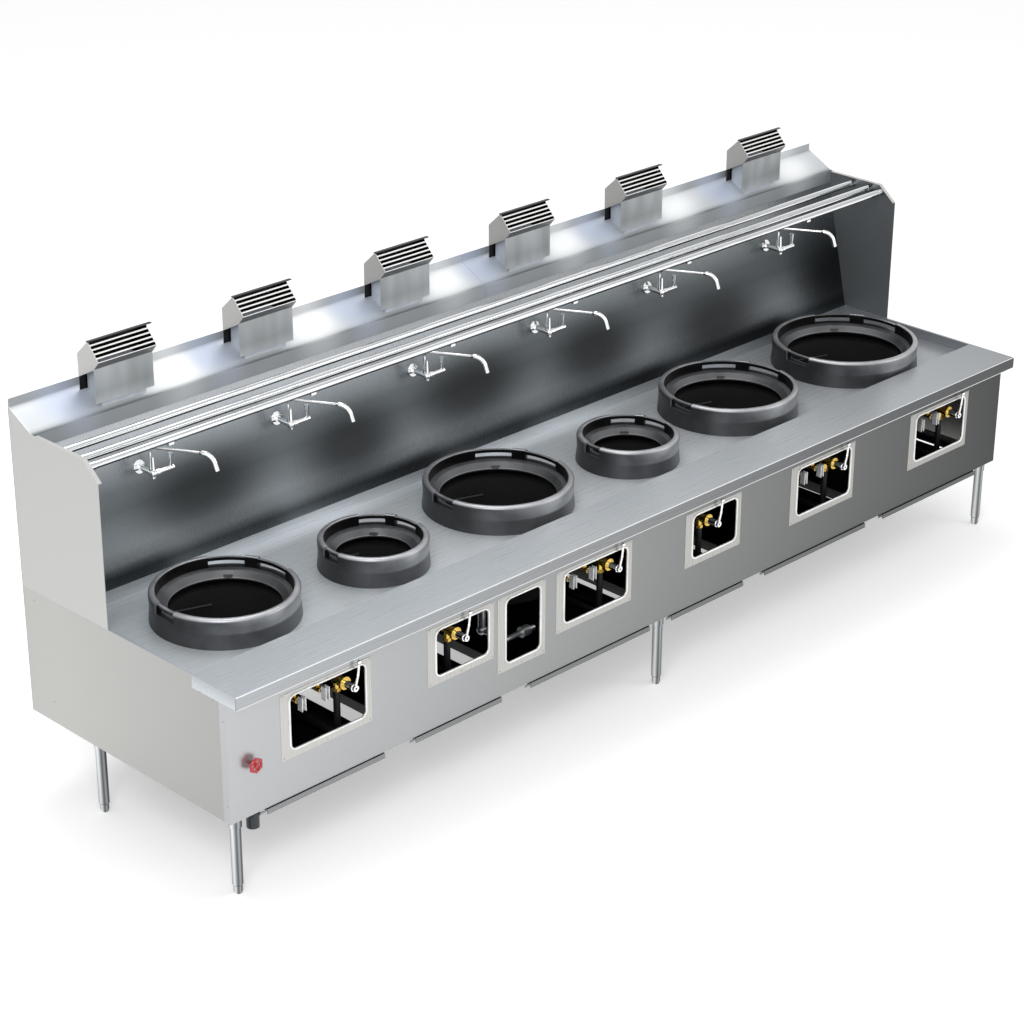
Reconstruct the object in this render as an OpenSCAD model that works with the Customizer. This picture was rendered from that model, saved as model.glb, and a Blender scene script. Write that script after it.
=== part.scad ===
// Six-station wok range. Millimetres. Each sub-part is drawn in body coordinates: x from the left
// outer face, y from the front panel's face to the back, z from the underside of the body. place()
// moves it so that the origin is under the middle of the range, on the floor.

/* [Body] */
// Length of the range from side to side
body_l = 4520; // [4460:10:4900]
// Depth of the body behind the face of its front panel
body_d = 1166; // [1160:2:1240]
// Height of the body from its underside to the deck
body_h = 525; // [500:5:600]
// Height of the legs under the body
leg_h = 315; // [220:5:400]
// Thickness of the sheet steel
sheet = 2; // [1.5:0.1:2.4]

/* [Deck] */
// How far the deck's nose stands out in front of the panel
nose_out = 62; // [50:1:80]
// Height of the deck's nose
nose_h = 50; // [42:1:60]
// Depth of the ledge behind the panel's face
ledge_d = 178; // [160:1:190]
// Depth of the sunk well
well_depth = 45; // [35:1:55]
// Width of the rim at each end of the well
rim_w = 12; // [8:1:20]
// Depth position of the foot of the splash panel
splash_y = 900; // [896:1:906]

/* [Splash] */
// Height of the splash panel over the deck
splash_rise = 625; // [600:5:660]
// Lean of the splash panel from upright, in degrees
splash_lean = 13.06; // [12:0.01:14]
// Depth position of the front edge of the side splash panels
wing_y = 650; // [600:5:680]
// Radius of the rail tubes
rail_r = 14; // [11:0.5:15]

/* [Rings] */
// Base radius of the two smallest rings
ring_small_r = 216; // [200:1:222]
// Base radius of the first ring
ring_mid_r = 279.5; // [262:0.5:286]
// Base radius of the two large rings
ring_large_r = 305; // [290:1:312]
// Base radius of the last ring
ring_last_r = 330; // [312:1:334]
// Height of the rings over the floor of the well
ring_h = 118; // [110:1:130]
// Depth position of the middle of the large rings
ring_y = 517; // [514:1:522]
// Depth position of the middle of the small rings
ring_small_y = 458; // [440:1:470]

/* [Windows] */
// Width of the wide front openings
wide_w = 350; // [330:1:360]
// Height of the wide front openings
wide_h = 210; // [190:1:220]
// Width of the narrow front openings
narrow_w = 265; // [250:1:275]
// Height of the narrow front openings
narrow_h = 185; // [170:1:195]
// Width of the tall drain opening
tall_w = 180; // [160:1:186]
// Height of the tall drain opening
tall_h = 265; // [240:1:280]
// Height of the top of all front openings over the underside
window_top = 398; // [390:1:402]
// Corner radius of the front openings
window_r = 22; // [16:1:26]

/* [Legs] */
// Radius of a leg's tube
leg_r = 20.5; // [18:0.5:21]
// Radius of a leg's socket
leg_socket_r = 24; // [22:0.5:25]

/* [Trays] */
// Width of a drip tray under a small ring
tray_small_w = 448; // [420:2:456]
// Width of the first drip tray
tray_mid_w = 560; // [540:2:570]
// Width of a drip tray under a large ring
tray_large_w = 682; // [650:2:686]
// Depth of a drip tray
tray_d = 860; // [800:5:880]
// Height of a drip tray's front lip
tray_h = 24; // [20:1:30]

/* [Flues] */
// Width of a flue box
flue_w = 264; // [240:2:280]
// Slats in a flue box's grille
slat_n = 4; // [3:1:6]

/* [Faucets] */
// Reach of a spout's straight run from its riser
spout_run = 205; // [180:1:220]
// Radius of a spout's tube
spout_r = 5.5; // [4.5:0.1:6]
// Swing of the spouts to the right of straight ahead at rest, in degrees
spout_turn = 30; // [0:1:45]

/* [Gas] */
// Length of a gas lever from its shaft to its ball
gas_lever_l = 100; // [85:1:110]
// Radius of a gas lever's shaft
gas_shaft_r = 15; // [13:0.5:16]
// Radius of the gas inlet pipe
inlet_r = 24; // [22:0.5:25]
// Radius of the red handwheel
wheel_r = 31; // [27:1:34]

/* [Hidden] */
$fn = 64;

// One overrun for all cuts, the running clearance of turning shafts, and the gap of loose seats
over = 1;
run_gap = 0.06;
seat_gap = 0.3;

// Places along the length, as shares of it
station_shares = [0.0947, 0.2434, 0.4031, 0.5569, 0.7124, 0.8907];
window_shares = [0.1018, 0.2482, 0.4077, 0.5633, 0.7195, 0.9004];
drain_window_share = 0.3188;
tap_shares = [0.0947, 0.2408, 0.3991, 0.5542, 0.7093, 0.8876];
STATIONS = [for (s = station_shares) s * body_l];
WINDOWS = [for (s = window_shares) s * body_l];
TAPS_X = [for (s = tap_shares) s * body_l];
drain_x = drain_window_share * body_l;
IS_SMALL = [false, true, false, true, false, false];
RINGS_R = [ring_mid_r, ring_small_r, ring_large_r, ring_small_r, ring_large_r, ring_last_r];
RINGS_Y = [for (s = IS_SMALL) s ? ring_small_y : ring_y];
TRAYS_W = [tray_mid_w, tray_small_w, tray_large_w, tray_small_w, tray_large_w, tray_large_w];

// Heights
deck_z = body_h;
well_z = deck_z - well_depth;
skirt_z = deck_z - nose_h;
panel_top_z = deck_z - sheet;
overall_d = nose_out + body_d;

// Deck: nose rounding, the nose's inturned bottom edge and the panel's turned-round flange
nose_r = 6;
nose_return = 18;
corner_flange = 35;

// Splash wall line: depth of its front face at a height
function wall_y(z) = splash_y + (z - deck_z) * tan(splash_lean);
wall_top_z = deck_z + splash_rise;

// Flashing: bullnose, front drop and rear lip
flash_r = 8;
flash_y = wall_y(wall_top_z) - flash_r - sheet;
flash_z = wall_top_z + flash_r / 2;
flash_lean = 27.6;
flash_drop = 50;
flash_lip = 30;
function flash_top(y) = flash_z + flash_r / cos(flash_lean) + (y - flash_y) * tan(flash_lean);
flash_rear_z = flash_top(body_d - sheet);
flash_seam_share = 0.4978;
seam_gap = 1;
seam_x = flash_seam_share * body_l;

// Side splash panels: front height, chamfer and the turned-in flange
wing_front_h = 565;
wing_cut_y = 83;
wing_cut_h = 70;
wing_flat_y = 1016;
wing_flange = 18;
wing_front_z = deck_z + wing_front_h;
wing_top_z = wing_front_z + wing_cut_h;

// Rail tubes: places of their centres, end sockets and clips
rail_drop = 27;
rail_z = wing_top_z - rail_drop;
rail_low = 5;
rails = [[240, 0], [140, 0], [74, rail_low]];
rail_socket_l = 40;
rail_socket_t = 1.5;
rail_socket_r = rail_r + rail_socket_t;
clip_w = 24;
clip_h = 8;
clip_d = 12;
clip_shift = -50;

// Window plates: margins round the opening, thickness and the rolled bead
plate_left = 46;
plate_right = 31;
plate_up = 20;
plate_down = 34;
plate_t = 1.5;
bead_w = 9;
bead_out = 6;

// Base frame: angle size and wall, cross rails' inset, gussets
angle_w = 40;
angle_t = 4;
gusset_w = 90;
gusset_t = 5;
joint_gap = 0.3;

// Legs: places, sockets, feet
leg_inset = 50;
leg_front_y = 40;
leg_rear_y = 820;
leg_socket_h = 42;
foot_h = 38;
foot_cone_h = 10;
foot_r = 17;
foot_low_r = 14;
foot_neck_r = 15;
foot_neck_h = 4;
LEGS_X = [leg_inset, body_l / 2, body_l - leg_inset];

// Trays: front lip's place, hem, side flange and runners
tray_front_y = -5;
tray_lip_t = 2;
tray_top_gap = 3;
tray_flange = 12;
tray_sheet = 1.5;
tray_hang = 5;
tray_shift = 14;
tray_step = 28;
tray_step_h = 9;
runner_t = 1.5;
runner_h = 8;
runner_ledge = 9;
runner_gap = 0.6;
function tray_x(i) = STATIONS[i] - TRAYS_W[i] / 2 + (i == 0 ? tray_shift : 0);

// Flue boxes: outline points over the flashing and behind its bullnose
flue_plate_y = 1044;
flue_plate_h = 134;
flue_plate_up = 22.3;
flue_plate_z = flash_top(flue_plate_y) + flue_plate_up;
flue_jut = 29;
flue_jut_h = 31;
flue_nose_h = 33;
flue_roof_y = 31;
flue_roof_h = 67;
flue_back_y = 98;
flue_back_h = 5;
flue_side_h = 52;
flue_lip_over = 22;
flue_lip_t = 3;
flue_lip_w = 14;
flue_lip_up = 1;
slot_w = 12;
slat_w = 6;
collar_w = 200;
collar_gap = 8;
collar_top = 100;

// Rings: wall sizes
ring_wall = 10;
ring_in = 5;
ring_shoulder_h = 58;
ring_band_out = 2;
ring_lip_w = 29;
ring_seat_top = 70;
ring_seat_h = 48;
ring_seat_w = 50;
ring_hole_w = 70;
ring_seat_t = 8;
ring_slot_h = 76;
ring_slot_top = 101;
ring_bar_w = 14;
ring_round_r = 13;
ring_edge_r = 6;
lug_w = 34;
lug_d = 18;
lug_h = 10;
lug_turn = 48;
// Slots of a ring, as start and sweep in degrees anticlockwise from the right
SLOT_TURNS = [[-11, 33], [34, 31], [166, 23]];

// Chambers: wall, flange and floor
chamber_w = 60;
chamber_t = 3;
chamber_flange = 14;
chamber_floor_z = 150;
burner_hole_r = 70;

// Gas: valve line, shaft lines and places from each window's middle
valve_z = 330;
pilot_z = 325;
valve_y = 62;
valve_l = 42;
main_y = 135;
main_r = 21;
main_elbow_r = 31;
main_valve_r = 29;
wide_valve_dx = 112;
pilot_dx = [-90, 20];
bush_y = 32;
bush_t = 10;
bush_r = 25;
sleeve_r = 20;
brass_r = 17;
brass_arm = 36;
brass_arm_r = 12;
nut_h = 12;
nut_r = 16;
down_pipe_r = 13;
down_elbow_r = 19;
supply_z = 100;
shaft_out = 14;
eye_r = 12;
eye_t = 12;
eye_bore_r = 4;
lever_r = 5;
lever_knuckle = 0.8;
lever_lean = 16;
lever_tip_lean = 8;
lever_ball_r = 9;
pilot_r = 10;
pilot_arm = 24;
pilot_arm_r = 7;
pilot_stem_r = 4;
pilot_hub_r = 7;
pilot_hub_l = 18;
blade_t = 3;
blade_h = 54;
blade_d = 24;
blade_dx = 8;
web_t = 4;
web_h = 20;
pilot_bore_l = 14;

// Main valve and handwheel
wheel_x = 104;
wheel_z = 207;
wheel_y = -24;
wheel_rim_r = 5.5;
wheel_hub_r = 8;
wheel_hub_l = 14;
wheel_spoke_r = 3.5;
wheel_lobe_n = 6;
wheel_stem_r = 5;
bonnet_y = 10;
bonnet_r = 15;
inlet_x = 134;
inlet_y = 45;
inlet_drop = 80;
inlet_end_l = 50;
inlet_nut_r = 30;
inlet_gap = 0.5;
wheel_hole_gap = 3;

// Burners
burner_r = 48;
burner_h = 60;
burner_low = 30;
jet_r = 5;
jet_h = 8;
jet_n = 8;
jet_ring_r = 30;
pilot_tube_r = 5;
pilot_tip_r = 8;
pilot_tip_x = 22;
pilot_tip_y = 118;
pilot_tip_z = 470;
pilot_tube_turn = 160;

// Faucets
tap_rise = 396;
plate_r = 26;
tap_plate_t = 6;
shank_l = 88;
shank_r = 11;
tap_r = 15;
tap_cap_r = 11;
tap_down = 18;
cone_h = 64;
cone_low_r = 8;
cone_top_r = 5;
riser_back = 14;
riser_top = 26;
riser_r = 8;
riser_bore = 12;
riser_h = 100;
bend_r = 20;
outlet_r = 10;
outlet_neck_l = 12;
outlet_bend = 48;
outlet_turn = 74;
outlet_l = 30;
outlet_bore_r = 7.5;
outlet_bore_l = 12;
spout_collar_r = 7;
spout_collar_h = 5;
stem_r = 9;
stem_l = 55;
stem_nut_r = 12;
stem_nut_l = 12;
handle_pin_r = 4;
handle_pin_l = 14;
handle_hub_r = 9;
handle_hub_l = 22;
handle_h = 58;
handle_low_r = 5.5;
handle_top_r = 10;
TAP_Z = deck_z + tap_rise;
TAP_Y = wall_y(TAP_Z) - shank_l;

// Drain
drain_y = 222;
drain_r = 16;
drain_elbow_r = 21;
drain_z = 160;
drain_front_y = 100;
drain_left = 70;
drain_right = 160;
drain_flange_r = 38;
drain_flange_t = 3;
drain_valve_r = 22;
drain_valve_l = 40;
drain_valve_x = 90;
drain_bar_r = 11;

// Placement and sweeps
module place() translate([-body_l / 2, nose_out - overall_d / 2, leg_h]) children();
module box(a, b) translate(a) cube(b - a);
module x_sweep(x0, x1) translate([x0, 0, 0]) rotate([90, 0, 90]) linear_extrude(x1 - x0) children();
module y_sweep(y0, y1) translate([0, y1, 0]) rotate([90, 0, 0]) linear_extrude(y1 - y0) children();
module x_rod(x, y, z, l, r) translate([x, y, z]) rotate([0, 90, 0]) cylinder(h = l, r = r);
module y_rod(x, y, z, l, r) translate([x, y + l, z]) rotate([90, 0, 0]) cylinder(h = l, r = r);
module z_rod(x, y, z, l, r) translate([x, y, z]) cylinder(h = l, r = r);

// A rectangle with round corners, from its lower left corner
module round_rect(x, z, w, h, r) {
    translate([x + r, z]) square([w - 2 * r, h]);
    translate([x, z + r]) square([w, h - 2 * r]);
    for (cx = [x + r, x + w - r], cz = [z + r, z + h - r])
        translate([cx, cz]) circle(r);
}

// Points of an arc about a centre, from one angle to another
arc_steps = 6;
function arc(c, r, a0, a1) =
    [for (k = [0:arc_steps]) let (a = a0 + (a1 - a0) * k / arc_steps) c + r * [cos(a), sin(a)]];

// A strip of sheet between two points of an outline, its thickness to the left of the way
module strip(a, b, t) {
    d = b - a;
    n = [-d[1], d[0]] * (t / norm(d));
    polygon([a, b, b + n, a + n]);
}

// A sheet folded along an outline, its thickness to the right of the way, mitred at each fold
function unit(v) = v / norm(v);
function right_of(a, b) = let (d = unit(b - a)) [d[1], -d[0]];
function folded(p, t) = [for (i = [0:len(p) - 1])
    let (n1 = i < len(p) - 1 ? right_of(p[i], p[i + 1]) : right_of(p[i - 1], p[i]),
        n0 = i > 0 ? right_of(p[i - 1], p[i]) : n1)
    p[i] + (n0 + n1) * t / (1 + n0 * n1)];
module fold(p, t) {
    inner = folded(p, t);
    polygon(concat(p, [for (i = [len(p) - 1:-1:0]) inner[i]]));
}

// Front openings: left edge, width and height of each, the tall drain opening last
WINDOW_BOXES = concat(
    [for (i = [0:5]) let (w = IS_SMALL[i] ? narrow_w : wide_w)
        [WINDOWS[i] - w / 2, w, IS_SMALL[i] ? narrow_h : wide_h]],
    [[drain_x - tall_w / 2, tall_w, tall_h]]);
VALVES_X = [for (i = [0:5]) WINDOWS[i] + (IS_SMALL[i] ? 0 : wide_valve_dx)];
PILOTS_X = [for (i = [0:5]) if (!IS_SMALL[i]) for (d = pilot_dx) WINDOWS[i] + d];

// Body panels
module side_panel(x) {
    x_sweep(x, x + sheet) polygon([
        [corner_flange, 0], [body_d - sheet, 0], [body_d - sheet, panel_top_z],
        [ledge_d, panel_top_z], [ledge_d, skirt_z], [corner_flange, skirt_z]]);
}
module side_panel_left() color("silver") place() side_panel(0);
module side_panel_right() color("silver") place() side_panel(body_l - sheet);

WING_OUTLINE = [
    [wing_y, deck_z], [splash_y, deck_z], [splash_y, panel_top_z],
    [body_d - sheet, panel_top_z], [body_d - sheet, flash_rear_z], [flash_y, flash_top(flash_y)],
    [wing_flat_y, wing_top_z], [wing_y + wing_cut_y, wing_top_z], [wing_y, wing_front_z]];
module splash_wing(x, side) {
    x_sweep(x, x + sheet) polygon(WING_OUTLINE);
    inner = side > 0 ? x : x + sheet - wing_flange;
    x_sweep(inner, inner + wing_flange) {
        strip([wing_y + wing_cut_y, wing_top_z], [wing_y, wing_front_z], sheet);
        strip([wing_flat_y, wing_top_z], [wing_y + wing_cut_y, wing_top_z], sheet);
    }
}
module splash_wing_left() color("gainsboro") place() splash_wing(0, 1);
module splash_wing_right() color("gainsboro") place() splash_wing(body_l - sheet, -1);

module front_panel() color("lightgray") place() {
    y_sweep(0, sheet) difference() {
        union() {
            square([body_l, skirt_z]);
            translate([sheet, 0]) square([body_l - 2 * sheet, panel_top_z]);
        }
        for (w = WINDOW_BOXES)
            round_rect(w[0], window_top - w[2], w[1], w[2], window_r);
        translate([wheel_x, wheel_z]) circle(wheel_stem_r + wheel_hole_gap);
    }
    for (x = [0, body_l - sheet])
        box([x, 0, 0], [x + sheet, corner_flange, skirt_z]);
}

module window_frames() color("whitesmoke") place()
    for (w = WINDOW_BOXES) {
        y_sweep(-plate_t, 0) difference() {
            translate([w[0] - plate_left, window_top - w[2] - plate_down])
                square([w[1] + plate_left + plate_right, w[2] + plate_down + plate_up]);
            round_rect(w[0], window_top - w[2], w[1], w[2], window_r);
        }
        y_sweep(-bead_out, -plate_t) difference() {
            round_rect(w[0] - bead_w, window_top - w[2] - bead_w,
                w[1] + 2 * bead_w, w[2] + 2 * bead_w, window_r + bead_w);
            round_rect(w[0], window_top - w[2], w[1], w[2], window_r);
        }
    }

// Deck: nose, ledge and riser; well floor plates that meet under the rings; rear upstand; end rims.
// They butt with a small gap
well_back_y = splash_y - sheet;
module deck() color("lightsteelblue") place() {
    x_sweep(0, body_l) difference() {
        union() {
            translate([-nose_out, skirt_z]) square([sheet, nose_h - nose_r]);
            translate([-nose_out + nose_r, panel_top_z]) square([nose_out - nose_r + ledge_d, sheet]);
            translate([-nose_out + nose_r, deck_z - nose_r]) circle(nose_r);
            translate([-nose_out, skirt_z]) square([nose_return, sheet]);
        }
        translate([-nose_out + nose_r, deck_z - nose_r]) circle(nose_r - sheet);
        translate([-nose_out + nose_r, deck_z - nose_r - nose_r])
            square([nose_r, nose_r + nose_r - sheet]);
        translate([-nose_out + sheet, deck_z - nose_r - nose_r]) square([nose_r, nose_r]);
    }
    for (x = [0, body_l - sheet])
        box([x, -nose_out + nose_r, skirt_z], [x + sheet, ledge_d, panel_top_z]);
    box([rim_w - sheet, ledge_d - sheet, well_z - sheet], [body_l - rim_w + sheet, ledge_d, deck_z]);
    box([rim_w - sheet, well_back_y, well_z - sheet],
        [body_l - rim_w + sheet, well_back_y + sheet, deck_z]);
    seams = concat([rim_w + joint_gap / 2], STATIONS, [body_l - rim_w - joint_gap / 2]);
    difference() {
        for (k = [0:6])
            box([seams[k] + joint_gap / 2, ledge_d + joint_gap, well_z - sheet],
                [seams[k + 1] - joint_gap / 2, well_back_y - joint_gap, well_z]);
        for (i = [0:5])
            z_rod(STATIONS[i], RINGS_Y[i], well_z - sheet - over, sheet + 2 * over,
                RINGS_R[i] - chamber_w + over);
        z_rod(drain_x, drain_y, well_z - sheet - over, sheet + 2 * over, drain_r + over);
    }
    for (s = [0, 1]) {
        riser_x = s * (body_l - 2 * rim_w + sheet) + rim_w - sheet;
        rim_x = s * (body_l - rim_w);
        box([riser_x, ledge_d + joint_gap, well_z - sheet],
            [riser_x + sheet, well_back_y - joint_gap, deck_z]);
        box([rim_x, ledge_d + joint_gap, panel_top_z], [rim_x + rim_w, well_back_y - joint_gap, deck_z]);
    }
}

module splash_panel() color("slategray") place()
    x_sweep(sheet, body_l - sheet) {
        translate([well_back_y + sheet, well_z]) square([sheet, well_depth - joint_gap]);
        polygon([
            [wall_y(deck_z), deck_z], [wall_y(deck_z) + sheet, deck_z],
            [wall_y(wall_top_z) + sheet, wall_top_z], [wall_y(wall_top_z), wall_top_z]]);
    }

module rear_flashing() color("lavender") place()
    difference() {
        for (s = [[sheet, seam_x - seam_gap / 2], [seam_x + seam_gap / 2, body_l - sheet]])
            x_sweep(s[0], s[1]) polygon(concat(
                [[flash_y - flash_r, flash_z - flash_drop]],
                arc([flash_y, flash_z], flash_r, 180, 90 + flash_lean),
                [[body_d - sheet, flash_rear_z], [body_d - sheet, flash_rear_z + flash_lip],
                    [body_d, flash_rear_z + flash_lip], [body_d, flash_rear_z - 2 * sheet],
                    [body_d - sheet, flash_rear_z - 2 * sheet],
                    [body_d - sheet, flash_rear_z - sheet / cos(flash_lean)]],
                arc([flash_y, flash_z], flash_r - sheet, 90 + flash_lean, 180),
                [[flash_y - flash_r + sheet, flash_z - flash_drop]]));
        for (x = STATIONS)
            box([x - collar_w / 2 + sheet, flue_plate_y + collar_gap + sheet, flash_z],
                [x + collar_w / 2 - sheet, flue_plate_y + flue_back_y - collar_gap - sheet,
                    flash_rear_z + flash_lip]);
    }

module back_panel() color("darkgray") place()
    box([0, body_d - sheet, 0], [body_l, body_d, flash_rear_z - 2 * sheet]);

module rail_tubes() color("gainsboro") place()
    for (r = rails) {
        y = wing_y + r[0];
        z = rail_z - r[1];
        x_rod(sheet + rail_socket_l, y, z, body_l - 2 * sheet - 2 * rail_socket_l, rail_r);
        for (x = [sheet, body_l - sheet - rail_socket_l])
            x_rod(x, y, z, rail_socket_l, rail_socket_r);
        if (r[1] > 0)
            for (x = STATIONS)
                box([x + clip_shift - clip_w / 2, y - clip_d / 2, z - rail_r - clip_h],
                    [x + clip_shift + clip_w / 2, y + clip_d / 2, z]);
    }

// Base frame: angles round the edge, a cross rail behind the trays, angles beside the trays, gussets
// at the legs and runners under the tray angles. The members butt with a small gap
module angle_x(y, side, x0, x1)
    x_sweep(x0, x1) {
        translate([y, 0]) square([angle_w, angle_t]);
        translate([side > 0 ? y : y + angle_w - angle_t, 0]) square([angle_t, angle_w]);
    }
module angle_y(x, side, y0, y1)
    y_sweep(y0, y1) {
        translate([x, 0]) square([angle_w, angle_t]);
        translate([side > 0 ? x : x + angle_w - angle_t, 0]) square([angle_t, angle_w]);
    }
module runner(x, side) {
    web = side > 0 ? x - runner_gap - runner_t : x + runner_gap;
    low = side > 0 ? web : web + runner_t - runner_ledge - runner_t;
    y1 = tray_front_y + tray_d;
    box([web, sheet, -runner_h], [web + runner_t, y1, -joint_gap]);
    box([low, sheet, -runner_h], [low + runner_ledge + runner_t, y1, -runner_h + runner_t]);
}
frame_edge = sheet + angle_w + joint_gap;
cross_y = leg_rear_y + gusset_w / 2;
module gusset(x, y) {
    lefts = [for (i = [0:5]) tray_x(i) - angle_w / 2 - joint_gap];
    rights = [for (i = [0:5]) tray_x(i) + TRAYS_W[i] + angle_w / 2 + joint_gap];
    x0 = max(concat([x - gusset_w / 2, frame_edge], [for (r = rights) if (r < x) r]));
    x1 = min(concat([x + gusset_w / 2, body_l - frame_edge], [for (l = lefts) if (l > x) l]));
    y1 = min(y + gusset_w / 2, cross_y - joint_gap);
    box([x0, max(y - gusset_w / 2, frame_edge), 0], [x1, y1, gusset_t]);
}
module base_frame() color("dimgray") place() difference() {
    union() {
        angle_x(sheet, 1, sheet, body_l - sheet);
        angle_x(body_d - sheet - angle_w, -1, sheet, body_l - sheet);
        angle_y(sheet, 1, frame_edge, body_d - frame_edge);
        angle_y(body_l - sheet - angle_w, -1, frame_edge, body_d - frame_edge);
        angle_x(cross_y, -1, frame_edge, body_l - frame_edge);
        for (i = [0:5]) {
            angle_y(tray_x(i) - angle_w / 2, 1, frame_edge, cross_y - joint_gap);
            angle_y(tray_x(i) + TRAYS_W[i] - angle_w / 2, -1, frame_edge, cross_y - joint_gap);
            runner(tray_x(i), 1);
            runner(tray_x(i) + TRAYS_W[i], -1);
        }
        for (x = LEGS_X, y = [leg_front_y, leg_rear_y]) gusset(x, y);
    }
    z_rod(inlet_x, inlet_y, -over, angle_w + 2 * over, inlet_r + inlet_gap);
}

module legs() color("silver") place()
    for (x = LEGS_X, y = [leg_front_y, leg_rear_y]) {
        z_rod(x, y, -leg_socket_h, leg_socket_h, leg_socket_r);
        z_rod(x, y, foot_h - leg_h, leg_h - foot_h, leg_r);
        z_rod(x, y, foot_h - foot_neck_h - leg_h, foot_neck_h, foot_neck_r);
        z_rod(x, y, foot_cone_h - leg_h, foot_h - foot_neck_h - foot_cone_h, foot_r);
        translate([x, y, -leg_h]) cylinder(h = foot_cone_h, r1 = foot_low_r, r2 = foot_r);
    }

// Drip trays: pan, side flanges, front lip
module drip_tray(i) color("darkgray") place() {
    x0 = tray_x(i);
    w = TRAYS_W[i];
    y1 = tray_front_y + tray_d;
    side_x = tray_flange;
    low = -tray_h + tray_sheet;
    flange_z = -tray_hang - tray_sheet;
    box([x0 + side_x, tray_front_y, low], [x0 + w - side_x, y1, low + tray_sheet]);
    for (x = [x0 + side_x, x0 + w - side_x - tray_sheet])
        box([x, tray_front_y, low], [x + tray_sheet, y1, -tray_hang]);
    box([x0 + side_x, y1 - tray_sheet, low], [x0 + w - side_x, y1, -tray_hang]);
    box([x0, sheet + sheet, flange_z], [x0 + side_x + tray_sheet, y1, -tray_hang]);
    box([x0 + w - side_x - tray_sheet, sheet + sheet, flange_z], [x0 + w, y1, -tray_hang]);
    box([x0, tray_front_y, -tray_h], [x0 + w, tray_front_y + tray_lip_t, -tray_top_gap]);
    box([x0 - tray_step, tray_front_y + tray_lip_t, -tray_top_gap - tray_step_h],
        [x0 + side_x, tray_front_y + 2 * tray_lip_t, -tray_top_gap]);
}
module drip_tray_1() drip_tray(0);
module drip_tray_2() drip_tray(1);
module drip_tray_3() drip_tray(2);
module drip_tray_4() drip_tray(3);
module drip_tray_5() drip_tray(4);
module drip_tray_6() drip_tray(5);

// Flue boxes: a hood with a slanted grille and a front plate, open below
FLUE_PLATE_TOP = [flue_plate_y, flue_plate_z + flue_plate_h];
FLUE_NOSE = [flue_plate_y - flue_jut, FLUE_PLATE_TOP[1] + flue_nose_h];
FLUE_APEX = [flue_plate_y + flue_roof_y, FLUE_NOSE[1] + flue_roof_h];
flue_rear_y = flue_plate_y + flue_back_y;
FLUE_REAR = [flue_rear_y, FLUE_NOSE[1] + flue_back_h];
module flue_side(x)
    x_sweep(x, x + sheet) polygon([
        FLUE_PLATE_TOP, FLUE_NOSE, FLUE_APEX, FLUE_REAR,
        [flue_rear_y, flash_top(flue_rear_y) + flue_side_h], FLUE_PLATE_TOP - [0, sheet]]);
module flue_box(x) {
    x0 = x - flue_w / 2;
    x1 = x + flue_w / 2;
    along = unit(FLUE_APEX - FLUE_NOSE);
    outer = FLUE_NOSE - over * right_of(FLUE_NOSE, FLUE_APEX);
    pitch = slot_w + slat_w;
    first = (norm(FLUE_APEX - FLUE_NOSE) - slat_n * slat_w - (slat_n + 1) * slot_w) / 2;
    for (sx = [x0, x1 - sheet]) flue_side(sx);
    x_sweep(x0, x1) difference() {
        fold([FLUE_PLATE_TOP - [0, flue_plate_h], FLUE_PLATE_TOP, FLUE_NOSE, FLUE_APEX, FLUE_REAR,
            [flue_rear_y, flash_top(flue_rear_y)]], sheet);
        for (k = [0:slat_n])
            strip(outer + along * (first + k * pitch), outer + along * (first + k * pitch + slot_w),
                -sheet - 2 * over);
    }
    lip_z = FLUE_APEX[1] + flue_lip_up;
    box([x0 - flue_lip_up, FLUE_APEX[0] - flue_lip_w / 2, lip_z - flue_lip_t],
        [x1 + flue_lip_over, FLUE_APEX[0] + flue_lip_w / 2, lip_z]);
}
module flue_boxes() color("white") place() for (x = STATIONS) flue_box(x);

// Flue collars: an upright duct on the flashing under each flue box
module flue_collars() color("dimgray") place()
    for (x = STATIONS) {
        y0 = flue_plate_y + collar_gap;
        y1 = flue_plate_y + flue_back_y - collar_gap;
        difference() {
            box([x - collar_w / 2, y0, 0], [x + collar_w / 2, y1, flash_top(y1) + collar_top]);
            box([x - collar_w / 2 + sheet, y0 + sheet, -over],
                [x + collar_w / 2 - sheet, y1 - sheet, flash_top(y1) + collar_top + over]);
            x_sweep(x - collar_w, x + collar_w) polygon([
                [y0 - over, -over], [y1 + over, -over],
                [y1 + over, flash_top(y1 + over)], [y0 - over, flash_top(y0 - over)]]);
        }
    }

// Cast rings
module ring_profile(r)
    polygon(concat(
        [[r - ring_wall, 0], [r, 0], [r - ring_in, ring_shoulder_h]],
        arc([r - ring_in + ring_band_out - ring_round_r, ring_h - ring_round_r], ring_round_r, 0, 90),
        arc([r - ring_lip_w + ring_edge_r, ring_h - ring_edge_r], ring_edge_r, 90, 180),
        [[r - ring_lip_w, ring_slot_h], [r - ring_seat_w, ring_seat_top],
            [r - ring_hole_w, ring_seat_h], [r - ring_hole_w, ring_seat_h - ring_seat_t],
            [r - ring_seat_w, ring_seat_top - ring_seat_t - ring_in],
            [r - ring_wall - ring_in, ring_seat_top - ring_seat_t - ring_in]]));
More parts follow.
